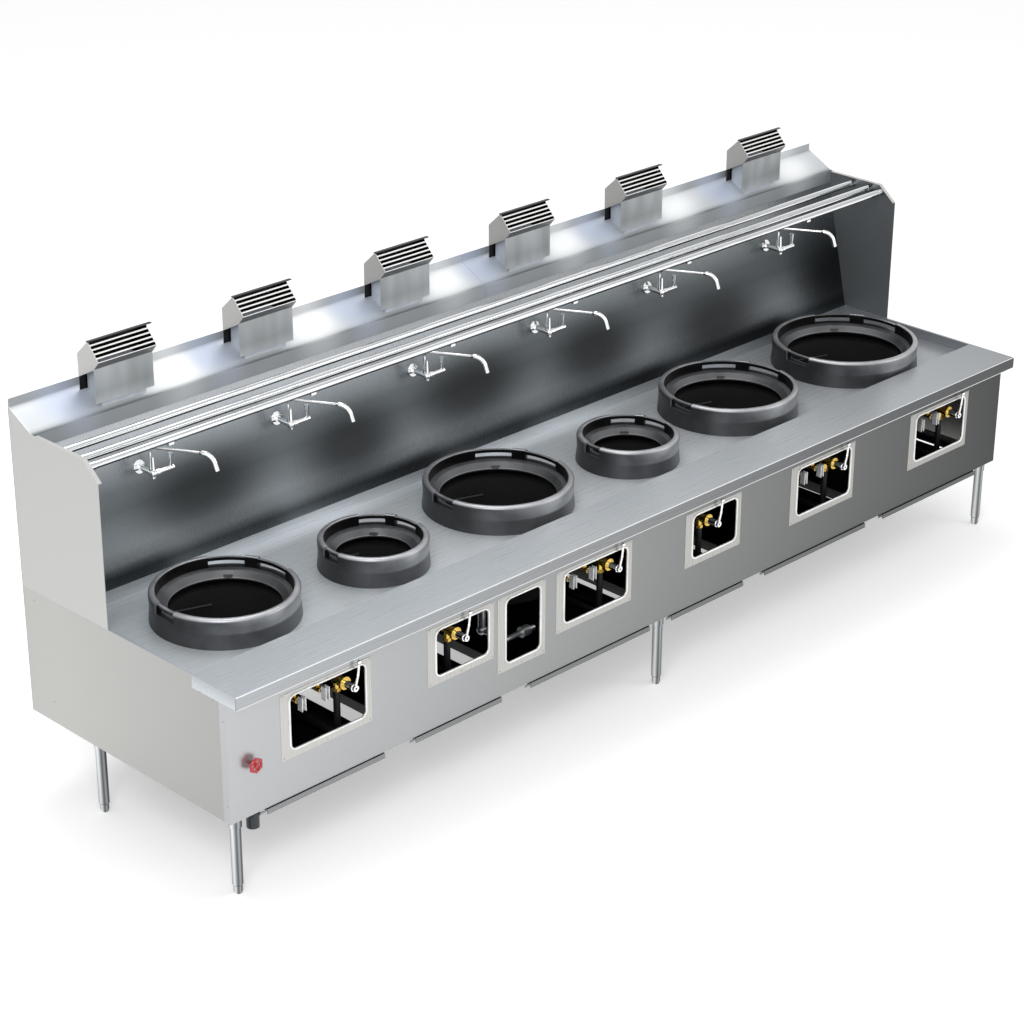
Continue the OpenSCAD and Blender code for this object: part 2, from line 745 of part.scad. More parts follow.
// What a slot takes away: the wall below the top bar, and the rim outside and above the bar
module slot_profile(r) {
    bar_top = ring_h - ring_in;
    polygon([
        [r - ring_lip_w - over, ring_slot_h], [r + over, ring_slot_h], [r + over, ring_h + over],
        [r - ring_lip_w - over, ring_h + over], [r - ring_lip_w - over, bar_top],
        [r - ring_lip_w + ring_bar_w, bar_top], [r - ring_lip_w + ring_bar_w, ring_slot_top],
        [r - ring_lip_w - over, ring_slot_top]]);
}
module wok_ring(i) color("dimgray") place() translate([STATIONS[i], RINGS_Y[i], well_z]) {
    r = RINGS_R[i];
    difference() {
        rotate_extrude($fn = 96) ring_profile(r);
        for (t = SLOT_TURNS)
            rotate([0, 0, t[0]]) rotate_extrude(angle = t[1], $fn = 96) slot_profile(r);
    }
    rotate([0, 0, lug_turn])
        box([r - ring_hole_w, -lug_w / 2, ring_seat_h],
            [r - ring_hole_w + lug_d, lug_w / 2, ring_seat_h + lug_h]);
}
module wok_ring_1() wok_ring(0);
module wok_ring_2() wok_ring(1);
module wok_ring_3() wok_ring(2);
module wok_ring_4() wok_ring(3);
module wok_ring_5() wok_ring(4);
module wok_ring_6() wok_ring(5);

// Chambers: a flanged pot under each ring with a burner hole in its floor
module combustion_chambers() color("dimgray") place()
    for (i = [0:5]) translate([STATIONS[i], RINGS_Y[i], 0]) {
        r = RINGS_R[i] - chamber_w;
        rotate_extrude($fn = 96) polygon([
            [burner_hole_r, chamber_floor_z], [r, chamber_floor_z], [r, well_z],
            [RINGS_R[i] - chamber_flange, well_z], [RINGS_R[i] - chamber_flange, well_z + sheet],
            [r - chamber_t, well_z + sheet], [r - chamber_t, chamber_floor_z + chamber_t],
            [burner_hole_r, chamber_floor_z + chamber_t]]);
    }

// Burners: supply pipe and cross header from each valve, burner head with jets on the floor, pilot
module burners() color("dimgray") place()
    for (i = [0:5]) {
        x = STATIONS[i];
        y = RINGS_Y[i];
        vx = VALVES_X[i];
        vy = valve_y + valve_l / 2;
        reach = down_elbow_r + joint_gap;
        z_rod(vx, vy, supply_z, valve_z - brass_arm - nut_h - supply_z, down_pipe_r);
        translate([vx, vy, supply_z]) sphere(down_elbow_r);
        y_rod(vx, vy + reach, supply_z, y - vy - 2 * reach, down_pipe_r);
        x_rod(min(x, vx) - down_elbow_r, y, supply_z, abs(vx - x) + 2 * down_elbow_r, down_elbow_r);
        z_rod(x, y, supply_z + reach, chamber_floor_z - supply_z - reach, down_pipe_r);
        z_rod(x, y, chamber_floor_z - burner_low, burner_low + burner_h, burner_r);
        z_rod(x, y, chamber_floor_z + chamber_t, chamber_t, burner_hole_r + jet_h);
        for (k = [0:jet_n - 1])
            translate([x, y, chamber_floor_z + burner_h]) rotate([0, 0, k * 360 / jet_n])
                z_rod(jet_ring_r, 0, 0, jet_h, jet_r);
        pilot_tube(i);
    }

// Pilot tubes, each from the chamber's wall to a tip near the seat
module pilot_tube(i) {
    r = RINGS_R[i] - chamber_w - chamber_t;
    tip = [pilot_tip_x, pilot_tip_y];
    away = [cos(pilot_tube_turn), sin(pilot_tube_turn)];
    reach = -(tip * away) + sqrt(pow(tip * away, 2) - tip * tip + r * r);
    translate([STATIONS[i], RINGS_Y[i], pilot_tip_z]) {
        translate([tip[0], tip[1], 0]) sphere(pilot_tip_r);
        intersection() {
            translate([tip[0], tip[1], 0]) rotate([0, 90, pilot_tube_turn])
                cylinder(h = reach + pilot_tip_r, r = pilot_tube_r);
            z_rod(0, 0, -pilot_tip_r, 2 * pilot_tip_r, r - seat_gap);
        }
    }
}

// Gas manifold: inlet pipe, main valve, long pipe behind the valves and a branch to each valve, with
// a small gap at each joint
module gas_manifold() color("dimgray") place() {
    z_rod(inlet_x, inlet_y, -inlet_drop, inlet_end_l, inlet_r);
    translate([inlet_x, inlet_y, inlet_end_l - inlet_drop]) cylinder(h = nut_h, r = inlet_nut_r, $fn = 6);
    z_rod(inlet_x, inlet_y, inlet_end_l - inlet_drop, wheel_z + inlet_drop - inlet_end_l, main_r);
    difference() {
        union() {
            y_rod(wheel_x, bonnet_y, wheel_z, inlet_y - bonnet_y, bonnet_r);
            x_rod(wheel_x - bonnet_r, inlet_y, wheel_z, inlet_x + inlet_r - wheel_x + 2 * bonnet_r,
                main_valve_r);
        }
        y_rod(wheel_x, bonnet_y - over, wheel_z, inlet_y - bonnet_y + over, wheel_stem_r + run_gap);
    }
    y_rod(inlet_x, inlet_y, wheel_z, main_y - inlet_y, main_r);
    z_rod(inlet_x, main_y, wheel_z, valve_z - wheel_z, main_r);
    x_rod(inlet_x + main_elbow_r + joint_gap, main_y, valve_z,
        VALVES_X[5] - inlet_x + main_r - main_elbow_r - joint_gap, main_r);
    for (z = [wheel_z, valve_z])
        translate([inlet_x, main_y, z]) sphere(main_elbow_r);
    branch_l = main_y - main_r - joint_gap - valve_y - valve_l;
    for (x = VALVES_X) y_rod(x, valve_y + valve_l, valve_z, branch_l, brass_arm_r);
    for (x = PILOTS_X) y_rod(x, valve_y + valve_l, pilot_z, branch_l, pilot_arm_r);
}

// Gas valves: brass bodies, shaft bushings with a collar, pilot cocks
module gas_valves() color("goldenrod") place() {
    for (x = VALVES_X) difference() {
        union() {
            y_rod(x, bush_y, valve_z, bush_t, bush_r);
            y_rod(x, bush_y, valve_z, valve_y - bush_y, sleeve_r);
            y_rod(x, valve_y, valve_z, valve_l, brass_r);
            z_rod(x, valve_y + valve_l / 2, valve_z - brass_arm, 2 * brass_arm, brass_arm_r);
            for (z = [valve_z - brass_arm - nut_h, valve_z + brass_arm - nut_h])
                translate([x, valve_y + valve_l / 2, z]) cylinder(h = nut_h, r = nut_r, $fn = 6);
        }
        y_rod(x, bush_y - over, valve_z, valve_y - bush_y, gas_shaft_r + run_gap);
    }
    for (x = PILOTS_X) difference() {
        union() {
            y_rod(x, valve_y, pilot_z, valve_l, pilot_r);
            z_rod(x, valve_y + valve_l / 2, pilot_z, pilot_arm, pilot_arm_r);
            translate([x, valve_y + valve_l / 2, pilot_z + pilot_arm - nut_h])
                cylinder(h = nut_h, r = pilot_r, $fn = 6);
        }
        y_rod(x, valve_y - over, pilot_z, pilot_bore_l + over, pilot_stem_r + run_gap);
    }
}

// Gas levers: shaft, eye, arm in two leaning lengths and a ball
module gas_lever(i) color("silver") place() translate([VALVES_X[i], 0, valve_z]) {
    elbow = [gas_lever_l / 2 * sin(lever_lean), gas_lever_l / 2 * cos(lever_lean)];
    tip = elbow + [gas_lever_l / 2 * sin(lever_tip_lean), gas_lever_l / 2 * cos(lever_tip_lean)];
    mid_y = -shaft_out - eye_t / 2;
    difference() {
        y_rod(0, -shaft_out, 0, valve_y - over - seat_gap + shaft_out, gas_shaft_r);
        y_rod(0, -shaft_out - over, 0, eye_t, eye_bore_r);
    }
    difference() {
        union() {
            y_rod(0, -shaft_out - eye_t, 0, eye_t, eye_r);
            translate([0, mid_y, 0]) rotate([0, lever_lean, 0]) cylinder(h = gas_lever_l / 2, r = lever_r);
        }
        y_rod(0, -shaft_out - eye_t - over, 0, eye_t + 2 * over, eye_bore_r);
    }
    translate([elbow[0], mid_y, elbow[1]]) sphere(lever_r + lever_knuckle);
    translate([elbow[0], mid_y, elbow[1]]) rotate([0, lever_tip_lean, 0])
        cylinder(h = gas_lever_l / 2, r = lever_r);
    translate([tip[0], mid_y, tip[1]]) sphere(lever_ball_r);
}
module gas_lever_1() gas_lever(0);
module gas_lever_2() gas_lever(1);
module gas_lever_3() gas_lever(2);
module gas_lever_4() gas_lever(3);
module gas_lever_5() gas_lever(4);
module gas_lever_6() gas_lever(5);

// Pilot handles: stem, hub, and two upright blades on a web
module pilot_handle(k) color("white") place() translate([PILOTS_X[k], valve_y, pilot_z]) {
    y_rod(0, -seat_gap - pilot_hub_l, 0, pilot_hub_l + pilot_bore_l, pilot_stem_r);
    y_rod(0, -seat_gap - pilot_hub_l, 0, pilot_hub_l, pilot_hub_r);
    box([-blade_dx, -seat_gap - pilot_hub_l, -web_h / 2],
        [blade_dx, -seat_gap - pilot_hub_l + web_t, web_h / 2]);
    for (s = [-1, 1])
        translate([s * blade_dx - blade_t / 2, -seat_gap - pilot_hub_l - blade_d + web_t, -blade_h / 2])
            cube([blade_t, blade_d, blade_h]);
}
module pilot_handle_1() pilot_handle(0);
module pilot_handle_2() pilot_handle(1);
module pilot_handle_3() pilot_handle(2);
module pilot_handle_4() pilot_handle(3);
module pilot_handle_5() pilot_handle(4);
module pilot_handle_6() pilot_handle(5);
module pilot_handle_7() pilot_handle(6);
module pilot_handle_8() pilot_handle(7);

// Main gas handwheel: stem, hub, spokes and a lobed rim
module main_gas_handwheel() color("crimson") place() translate([wheel_x, wheel_y, wheel_z]) {
    rim = wheel_r - wheel_rim_r;
    rotate([90, 0, 0]) rotate_extrude() translate([rim - wheel_rim_r / 2, 0]) circle(wheel_rim_r);
    y_rod(0, -wheel_hub_l / 2, 0, wheel_hub_l, wheel_hub_r);
    y_rod(0, 0, 0, inlet_y - wheel_y - seat_gap, wheel_stem_r);
    for (k = [0:wheel_lobe_n - 1]) rotate([0, k * 360 / wheel_lobe_n, 0]) {
        cylinder(h = rim - wheel_rim_r / 2, r = wheel_spoke_r);
        translate([0, 0, rim]) sphere(wheel_rim_r);
    }
}

// Faucets: wall plate, level shank, round body with a cone and a cap, spout socket and stem housing
module faucet_bodies() color("gainsboro") place()
    for (x = TAPS_X) {
        translate([x, wall_y(TAP_Z), TAP_Z]) rotate([90 - splash_lean, 0, 0])
            cylinder(h = tap_plate_t, r = plate_r);
        difference() {
            union() {
                translate([x, TAP_Y, TAP_Z]) sphere(tap_r);
                z_rod(x, TAP_Y, TAP_Z - tap_down, tap_down, tap_cap_r);
                translate([x, TAP_Y, TAP_Z]) cylinder(h = cone_h, r1 = cone_low_r, r2 = cone_top_r);
                y_rod(x, TAP_Y, TAP_Z, shank_l - tap_plate_t / 2, shank_r);
                z_rod(x, TAP_Y + riser_back, TAP_Z, riser_top, riser_r);
                x_rod(x, TAP_Y, TAP_Z, tap_r + stem_l, stem_r);
                x_rod(x + tap_r / 2, TAP_Y, TAP_Z, tap_r / 2 + stem_nut_l, stem_nut_r);
            }
            z_rod(x, TAP_Y + riser_back, TAP_Z + riser_top - riser_bore, riser_bore + over,
                spout_r + run_gap);
            x_rod(x + tap_r + stem_l - handle_pin_l - seat_gap, TAP_Y, TAP_Z,
                handle_pin_l + seat_gap + over, handle_pin_r + run_gap);
        }
    }

// Spouts: riser tube, bend, straight run, fatter curved outlet
module faucet_spout(i) color("gainsboro") place()
    translate([TAPS_X[i], TAP_Y + riser_back, TAP_Z]) rotate([0, 0, spout_turn - 90]) {
        low = riser_top - riser_bore + seat_gap;
        z_rod(0, 0, low, riser_h - bend_r - low, spout_r);
        z_rod(0, 0, riser_top + seat_gap, spout_collar_h, spout_collar_r);
        translate([bend_r, 0, riser_h - bend_r]) rotate([90, 0, 0]) rotate([0, 0, 90])
            rotate_extrude(angle = 90) translate([bend_r, 0]) circle(spout_r);
        x_rod(bend_r, 0, riser_h, spout_run - outlet_neck_l - bend_r, spout_r);
        translate([spout_run - outlet_neck_l, 0, riser_h]) rotate([0, 90, 0])
            cylinder(h = outlet_neck_l, r1 = spout_r, r2 = outlet_r);
        difference() {
            union() {
                translate([spout_run, 0, riser_h - outlet_bend]) rotate([90, 0, 0])
                    rotate([0, 0, 90 - outlet_turn]) rotate_extrude(angle = outlet_turn)
                        translate([outlet_bend, 0]) circle(outlet_r);
                outlet_end() cylinder(h = outlet_l, r = outlet_r);
            }
            outlet_end() translate([0, 0, outlet_l - outlet_bore_l])
                cylinder(h = outlet_bore_l + over, r = outlet_bore_r);
        }
    }
module outlet_end()
    translate([spout_run + outlet_bend * sin(outlet_turn), 0,
        riser_h - outlet_bend + outlet_bend * cos(outlet_turn)])
        rotate([0, 90 + outlet_turn, 0]) children();
module faucet_spout_1() faucet_spout(0);
module faucet_spout_2() faucet_spout(1);
module faucet_spout_3() faucet_spout(2);
module faucet_spout_4() faucet_spout(3);
module faucet_spout_5() faucet_spout(4);
module faucet_spout_6() faucet_spout(5);

// Faucet handles: pin, hub and a flared upright lever
module faucet_handle(i) color("gainsboro") place()
    translate([TAPS_X[i] + tap_r + stem_l, TAP_Y, TAP_Z]) {
        x_rod(-handle_pin_l, 0, 0, handle_pin_l + seat_gap + over, handle_pin_r);
        x_rod(seat_gap, 0, 0, handle_hub_l, handle_hub_r);
        translate([seat_gap + handle_hub_l / 2, 0, 0])
            cylinder(h = handle_h, r1 = handle_low_r, r2 = handle_top_r);
    }
module faucet_handle_1() faucet_handle(0);
module faucet_handle_2() faucet_handle(1);
module faucet_handle_3() faucet_handle(2);
module faucet_handle_4() faucet_handle(3);
module faucet_handle_5() faucet_handle(4);
module faucet_handle_6() faucet_handle(5);

// Drain: flanged outlet under the well, pipe forward to a cross pipe with a valve
module drain() color("silver") place() {
    z_rod(drain_x, drain_y, well_z - sheet - drain_flange_t, drain_flange_t, drain_flange_r);
    z_rod(drain_x, drain_y, drain_z, well_z - sheet - drain_z, drain_r);
    translate([drain_x, drain_y, drain_z]) sphere(drain_elbow_r);
    y_rod(drain_x, drain_front_y, drain_z, drain_y - drain_front_y, drain_bar_r);
    x_rod(drain_x - drain_left, drain_front_y, drain_z, drain_left + drain_right, drain_bar_r);
    x_rod(drain_x + drain_valve_x, drain_front_y, drain_z, drain_valve_l, drain_valve_r);
}

side_panel_left();
side_panel_right();
splash_wing_left();
splash_wing_right();
front_panel();
window_frames();
deck();
splash_panel();
rear_flashing();
rail_tubes();
back_panel();
base_frame();
legs();
flue_boxes();
flue_collars();
gas_manifold();
gas_valves();
burners();
combustion_chambers();
faucet_bodies();
drain();
wok_ring_1();
wok_ring_2();
wok_ring_3();
wok_ring_4();
wok_ring_5();
wok_ring_6();
faucet_spout_1();
faucet_spout_2();
faucet_spout_3();
faucet_spout_4();
faucet_spout_5();
faucet_spout_6();
faucet_handle_1();
faucet_handle_2();
faucet_handle_3();
faucet_handle_4();
faucet_handle_5();
faucet_handle_6();
gas_lever_1();
gas_lever_2();
gas_lever_3();
gas_lever_4();
gas_lever_5();
gas_lever_6();
pilot_handle_1();
pilot_handle_2();
pilot_handle_3();
pilot_handle_4();
pilot_handle_5();
pilot_handle_6();
pilot_handle_7();
pilot_handle_8();
drip_tray_1();
drip_tray_2();
drip_tray_3();
drip_tray_4();
drip_tray_5();
drip_tray_6();
main_gas_handwheel();
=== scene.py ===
"""Finishes, trim and studio for the six-station wok range.

Every piece is worked out in body millimetres: x from the left outer face, y from the front panel's
face to the back, z from the underside of the body. metres() moves such points into the part's frame.
"""
from math import atan2, cos, pi, radians, sin

import bmesh
import bpy
import numpy as np
from bpy.props import FloatProperty, FloatVectorProperty, PointerProperty
from mathutils import Matrix, Vector
from mathutils.bvhtree import BVHTree


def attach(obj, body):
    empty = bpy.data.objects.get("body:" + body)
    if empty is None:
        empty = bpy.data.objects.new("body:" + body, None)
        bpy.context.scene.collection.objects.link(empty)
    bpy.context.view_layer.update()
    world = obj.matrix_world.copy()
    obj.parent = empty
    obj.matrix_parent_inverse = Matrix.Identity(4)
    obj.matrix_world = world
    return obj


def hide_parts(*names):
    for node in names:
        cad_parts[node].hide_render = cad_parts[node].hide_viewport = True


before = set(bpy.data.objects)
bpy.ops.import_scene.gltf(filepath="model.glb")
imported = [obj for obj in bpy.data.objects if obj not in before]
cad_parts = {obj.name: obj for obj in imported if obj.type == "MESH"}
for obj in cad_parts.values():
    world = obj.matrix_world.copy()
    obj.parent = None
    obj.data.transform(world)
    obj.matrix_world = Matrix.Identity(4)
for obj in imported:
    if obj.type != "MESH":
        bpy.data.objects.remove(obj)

bl_info = {
    "name": "Wok range finishes",
    "version": (1, 0, 0),
    "blender": (4, 5, 0),
    "location": "3D View > Sidebar > Wok range",
    "description": "Steel finishes, window plates, rings, trim and a plain studio for a wok range",
    "category": "Object",
}

# Body sizes in millimetres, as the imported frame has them
LENGTH, DEPTH, LEG = 4520, 1166, 315
NOSE, NOSE_H = 62, 50
DECK_Z, WELL_Z = 525, 480
SHEET = 2
STATIONS = LENGTH * np.array([0.0947, 0.2434, 0.4031, 0.5569, 0.7124, 0.8907])
WINDOWS = LENGTH * np.array([0.1018, 0.2482, 0.4077, 0.5633, 0.7195, 0.9004])
DRAIN_X = 0.3188 * LENGTH
SMALL = [False, True, False, True, False, False]
RING_R = [279.5, 216, 305, 216, 305, 330]
RING_Y = [458 if small else 517 for small in SMALL]
WALL_TOP = 1150
FLASH_FRONT, FLASH_BACK = 1026.5, 1166.5
FLASH_LIP_LOW, FLASH_LIP_TOP = 1230.5, 1260.5
SLIT_OUT, SLIT_W = 109.5, 3
ROOT = "range_body"

# In the part's metres: half the length, the heights over the floor at which the tones of the rings
# and of the flue plates change, the stretch along which the flue sides are painted darker as shade,
# and their top
HALF = LENGTH / 2000
SEAT_LOW, BAND_LOW, SLOT_TOP, RIM_LOW = 0.836, 0.850, 0.9, 0.902
FLUE_PLATE_LOW, FLUE_PLATE_TOP = 1.50, 1.62
FLUE_FADE = -1.9, -0.45
HOOD_TOP = 1.74


def metres(points):
    """Body millimetres to the part's metres."""
    shift = np.array([-LENGTH / 2, (NOSE - DEPTH) / 2, LEG])
    return (np.asarray(points, float) + shift) / 1000


def depth_at(y):
    """The part's Y in metres of a depth y."""
    return float(metres((0, y, 0))[1])


def height_at(z):
    """Height over the floor in metres of a body height z."""
    return float(metres((0, 0, z))[2])


def srgb(text):
    """A written colour such as c0c1c2 as linear red, green and blue."""
    c = np.array([int(text[i:i + 2], 16) for i in (0, 2, 4)]) / 255
    return tuple(float(v) for v in np.where(c < 0.04045, c / 12.92, ((c + 0.055) / 1.055) ** 2.4))


# Materials


class Finish:
    """One material: places its nodes and joins their sockets."""

    def __init__(self, name, metallic=1.0, roughness=0.35):
        self.material = bpy.data.materials.new(name)
        self.material.use_nodes = True
        self.tree = self.material.node_tree
        self.tree.nodes.clear()
        self.shader = self.add("ShaderNodeBsdfPrincipled", Metallic=metallic, Roughness=roughness)
        output = self.add("ShaderNodeOutputMaterial")
        self.join(self.shader.outputs["BSDF"], output.inputs["Surface"])
        self.place = self.add("ShaderNodeTexCoord").outputs["Object"]

    def add(self, kind, **values):
        node = self.tree.nodes.new(kind)
        for key, value in values.items():
            if key in node.inputs:
                node.inputs[key].default_value = value
            else:
                setattr(node, key, value)
        return node

    def join(self, source, socket):
        self.tree.links.new(source, socket)

    def group(self, tree, **values):
        node = self.tree.nodes.new("ShaderNodeGroup")
        node.node_tree = tree
        for key, value in values.items():
            socket = node.inputs[key.replace("_", " ")]
            if hasattr(value, "is_linked"):
                self.join(value, socket)
            else:
                socket.default_value = value
        return node

    def math(self, operation, *values):
        node = self.add("ShaderNodeMath", operation=operation)
        for i, value in enumerate(values):
            if hasattr(value, "is_linked"):
                self.join(value, node.inputs[i])
            else:
                node.inputs[i].default_value = value
        return node.outputs[0]

    def axis(self, letter):
        split = self.add("ShaderNodeSeparateXYZ")
        self.join(self.place, split.inputs[0])
        return split.outputs[letter]

    def facing(self, toward):
        """How far the surface turns towards a direction, from 0 away to 1 facing it."""
        direction = Vector(toward).normalized()
        dot = self.add("ShaderNodeVectorMath", operation="DOT_PRODUCT")
        self.join(self.add("ShaderNodeNewGeometry").outputs["Normal"], dot.inputs[0])
        dot.inputs[1].default_value = direction
        return self.math("MULTIPLY_ADD", dot.outputs["Value"], 0.5, 0.5)

    def span(self, value, low, high, to_low=0.0, to_high=1.0):
        node = self.add("ShaderNodeMapRange", clamp=True)
        self.join(value, node.inputs["Value"])
        for key, v in (("From Min", low), ("From Max", high), ("To Min", to_low), ("To Max", to_high)):
            node.inputs[key].default_value = v
        return node.outputs["Result"]

    def ramp(self, factor, stops):
        """A colour along a factor: stops are (place, written colour)."""
        node = self.add("ShaderNodeValToRGB")
        band = node.color_ramp
        while len(band.elements) < len(stops):
            band.elements.new(0.5)
        for element, (place, colour) in zip(band.elements, stops):
            element.position = place
            element.color = (*srgb(colour), 1)
        self.join(factor, node.inputs["Fac"])
        return node.outputs["Color"]

    def mix(self, factor, a, b, blend="MIX"):
        node = self.add("ShaderNodeMix", data_type="RGBA", blend_type=blend)
        for socket, value in zip((node.inputs[0], node.inputs[6], node.inputs[7]), (factor, a, b)):
            if hasattr(value, "is_linked"):
                self.join(value, socket)
            else:
                socket.default_value = (*value, 1) if hasattr(value, "__len__") else value
        return node.outputs[2]

    def colour(self, value):
        if hasattr(value, "is_linked"):
            self.join(value, self.shader.inputs["Base Color"])
        else:
            self.shader.inputs["Base Color"].default_value = (*value, 1)

    def bump(self, height, distance, strength=1.0):
        node = self.add("ShaderNodeBump", Strength=strength, Distance=distance)
        self.join(height, node.inputs["Height"])
        self.join(node.outputs["Normal"], self.shader.inputs["Normal"])
        return node

    def skin(self, colour, grain, distance=0.00003, strength=0.4):
        """Lays a grain's tone, roughness and height over a colour."""
        self.colour(self.mix(1.0, colour, grain.outputs["Tone"], "MULTIPLY"))
        self.join(grain.outputs["Roughness"], self.shader.inputs["Roughness"])
        self.bump(grain.outputs["Height"], distance, strength)


def new_group(name, inputs, outputs):
    """A shader node group with named sockets; returns the tree, its input node and its output node."""
    tree = bpy.data.node_groups.new(name, "ShaderNodeTree")
    for direction, sockets in (("INPUT", inputs), ("OUTPUT", outputs)):
        for label, kind, value in sockets:
            socket = tree.interface.new_socket(label, in_out=direction, socket_type=kind)
            if value is not None:
                socket.default_value = value
    return tree, tree.nodes.new("NodeGroupInput"), tree.nodes.new("NodeGroupOutput")


def brushed_group():
    """Brushed grain: noise on coordinates squeezed across the grain gives a tone near one, a
    roughness and a height."""
    tree, source, out = new_group(
        "Brushed grain",
        [("Vector", "NodeSocketVector", None), ("Squeeze", "NodeSocketVector", (3, 400, 400)),
         ("Depth", "NodeSocketFloat", 0.06), ("Roughness", "NodeSocketFloat", 0.32)],
        [("Tone", "NodeSocketFloat", None), ("Roughness", "NodeSocketFloat", None),
         ("Height", "NodeSocketFloat", None)])
    new, link = tree.nodes.new, tree.links.new
    scale = new("ShaderNodeVectorMath")
    scale.operation = "MULTIPLY"
    link(source.outputs["Vector"], scale.inputs[0])
    link(source.outputs["Squeeze"], scale.inputs[1])
    fine = new("ShaderNodeTexNoise")
    fine.inputs["Scale"].default_value = 1
    fine.inputs["Detail"].default_value = 4
    fine.inputs["Roughness"].default_value = 0.65
    link(scale.outputs[0], fine.inputs["Vector"])
    centred = new("ShaderNodeMath")
    centred.operation = "SUBTRACT"
    centred.inputs[1].default_value = 0.5
    link(fine.outputs["Fac"], centred.inputs[0])
    tone = new("ShaderNodeMath")
    tone.operation = "MULTIPLY_ADD"
    tone.inputs[2].default_value = 1
    link(centred.outputs[0], tone.inputs[0])
    link(source.outputs["Depth"], tone.inputs[1])
    rough = new("ShaderNodeMath")
    rough.operation = "MULTIPLY_ADD"
    rough.inputs[1].default_value = 0.25
    link(centred.outputs[0], rough.inputs[0])
    link(source.outputs["Roughness"], rough.inputs[2])
    link(tone.outputs[0], out.inputs["Tone"])
    link(rough.outputs[0], out.inputs["Roughness"])
    link(fine.outputs["Fac"], out.inputs["Height"])
    return tree


def cloud_group():
    """Soft clouds: low noise drawn out along the length, between two levels."""
    tree, source, out = new_group(
        "Soft clouds",
        [("Vector", "NodeSocketVector", None), ("Squeeze", "NodeSocketVector", (1.2, 1.2, 2.4)),
         ("Low", "NodeSocketFloat", 0.8), ("High", "NodeSocketFloat", 1.2)],
        [("Level", "NodeSocketFloat", None)])
    new, link = tree.nodes.new, tree.links.new
    scale = new("ShaderNodeVectorMath")
    scale.operation = "MULTIPLY"
    link(source.outputs["Vector"], scale.inputs[0])
    link(source.outputs["Squeeze"], scale.inputs[1])
    noise = new("ShaderNodeTexNoise")
    noise.inputs["Scale"].default_value = 1
    noise.inputs["Detail"].default_value = 1
    link(scale.outputs[0], noise.inputs["Vector"])
    level = new("ShaderNodeMapRange")
    level.inputs["From Min"].default_value = 0.3
    level.inputs["From Max"].default_value = 0.7
    link(noise.outputs["Fac"], level.inputs["Value"])
    link(source.outputs["Low"], level.inputs["To Min"])
    link(source.outputs["High"], level.inputs["To Max"])
    link(level.outputs["Result"], out.inputs["Level"])
    return tree


def cast_group():
    """Cast skin: fine pitted noise over a coarser one, as a height and a roughness."""
    tree, source, out = new_group(
        "Cast skin",
        [("Vector", "NodeSocketVector", None), ("Grain", "NodeSocketFloat", 260.0),
         ("Roughness", "NodeSocketFloat", 0.42)],
        [("Height", "NodeSocketFloat", None), ("Roughness", "NodeSocketFloat", None),
         ("Tone", "NodeSocketFloat", None)])
    new, link = tree.nodes.new, tree.links.new
    fine = new("ShaderNodeTexNoise")
    fine.inputs["Detail"].default_value = 3
    link(source.outputs["Vector"], fine.inputs["Vector"])
    link(source.outputs["Grain"], fine.inputs["Scale"])
    broad = new("ShaderNodeTexNoise")
    broad.inputs["Scale"].default_value = 14
    broad.inputs["Detail"].default_value = 2
    link(source.outputs["Vector"], broad.inputs["Vector"])
    rough = new("ShaderNodeMapRange")
    rough.inputs["From Min"].default_value = 0.3
    rough.inputs["From Max"].default_value = 0.7
    rough.inputs["To Min"].default_value = -0.06
    rough.inputs["To Max"].default_value = 0.08
    link(broad.outputs["Fac"], rough.inputs["Value"])
    add = new("ShaderNodeMath")
    link(rough.outputs["Result"], add.inputs[0])
    link(source.outputs["Roughness"], add.inputs[1])
    tone = new("ShaderNodeMapRange")
    tone.inputs["From Min"].default_value = 0.3
    tone.inputs["From Max"].default_value = 0.7
    tone.inputs["To Min"].default_value = 0.88
    tone.inputs["To Max"].default_value = 1.12
    link(broad.outputs["Fac"], tone.inputs["Value"])
    link(fine.outputs["Fac"], out.inputs["Height"])
    link(add.outputs[0], out.inputs["Roughness"])
    link(tone.outputs["Result"], out.inputs["Tone"])
    return tree


GROUPS = {}
MATERIALS = {}


def brushed(name, stops, along="X", span=(-HALF, HALF), squeeze=(3, 400, 400), depth=0.06,
            roughness=0.32, metallic=0.85, inside=None):
    """Brushed steel: a colour that drifts along one axis, times its grain. inside gives an axis, a
    place and a side beyond which the sheet is painted near black as shade."""
    f = Finish(name, metallic, roughness)
    colour = f.ramp(f.span(f.axis(along), *span), stops)
    grain = f.group(GROUPS["brushed"], Vector=f.place, Squeeze=squeeze, Depth=depth, Roughness=roughness)
    mixed = f.mix(1.0, colour, grain.outputs["Tone"], "MULTIPLY")
    if inside:
        axis, place, side = inside
        # painted shade: beyond the place the sheet is made near black, as the inside of the body is in
        # shade
        mask = f.math("GREATER_THAN" if side > 0 else "LESS_THAN", f.axis(axis), place)
        mixed = f.mix(mask, mixed, srgb("17181a"))
    f.colour(mixed)
    f.join(grain.outputs["Roughness"], f.shader.inputs["Roughness"])
    f.bump(grain.outputs["Height"], 0.00004, 0.5)
    return f


def plain(name, colour, metallic=0.0, roughness=0.5, grain=260.0, bump=0.0001, coat=0.0):
    """Cast, painted or plated skin: one colour with a fine pitted height."""
    f = Finish(name, metallic, roughness)
    cast = f.group(GROUPS["cast"], Vector=f.place, Grain=grain, Roughness=roughness)
    f.skin(srgb(colour), cast, bump, 0.6)
    f.shader.inputs["Coat Weight"].default_value = coat
    f.shader.inputs["Coat Roughness"].default_value = 0.05
    return f


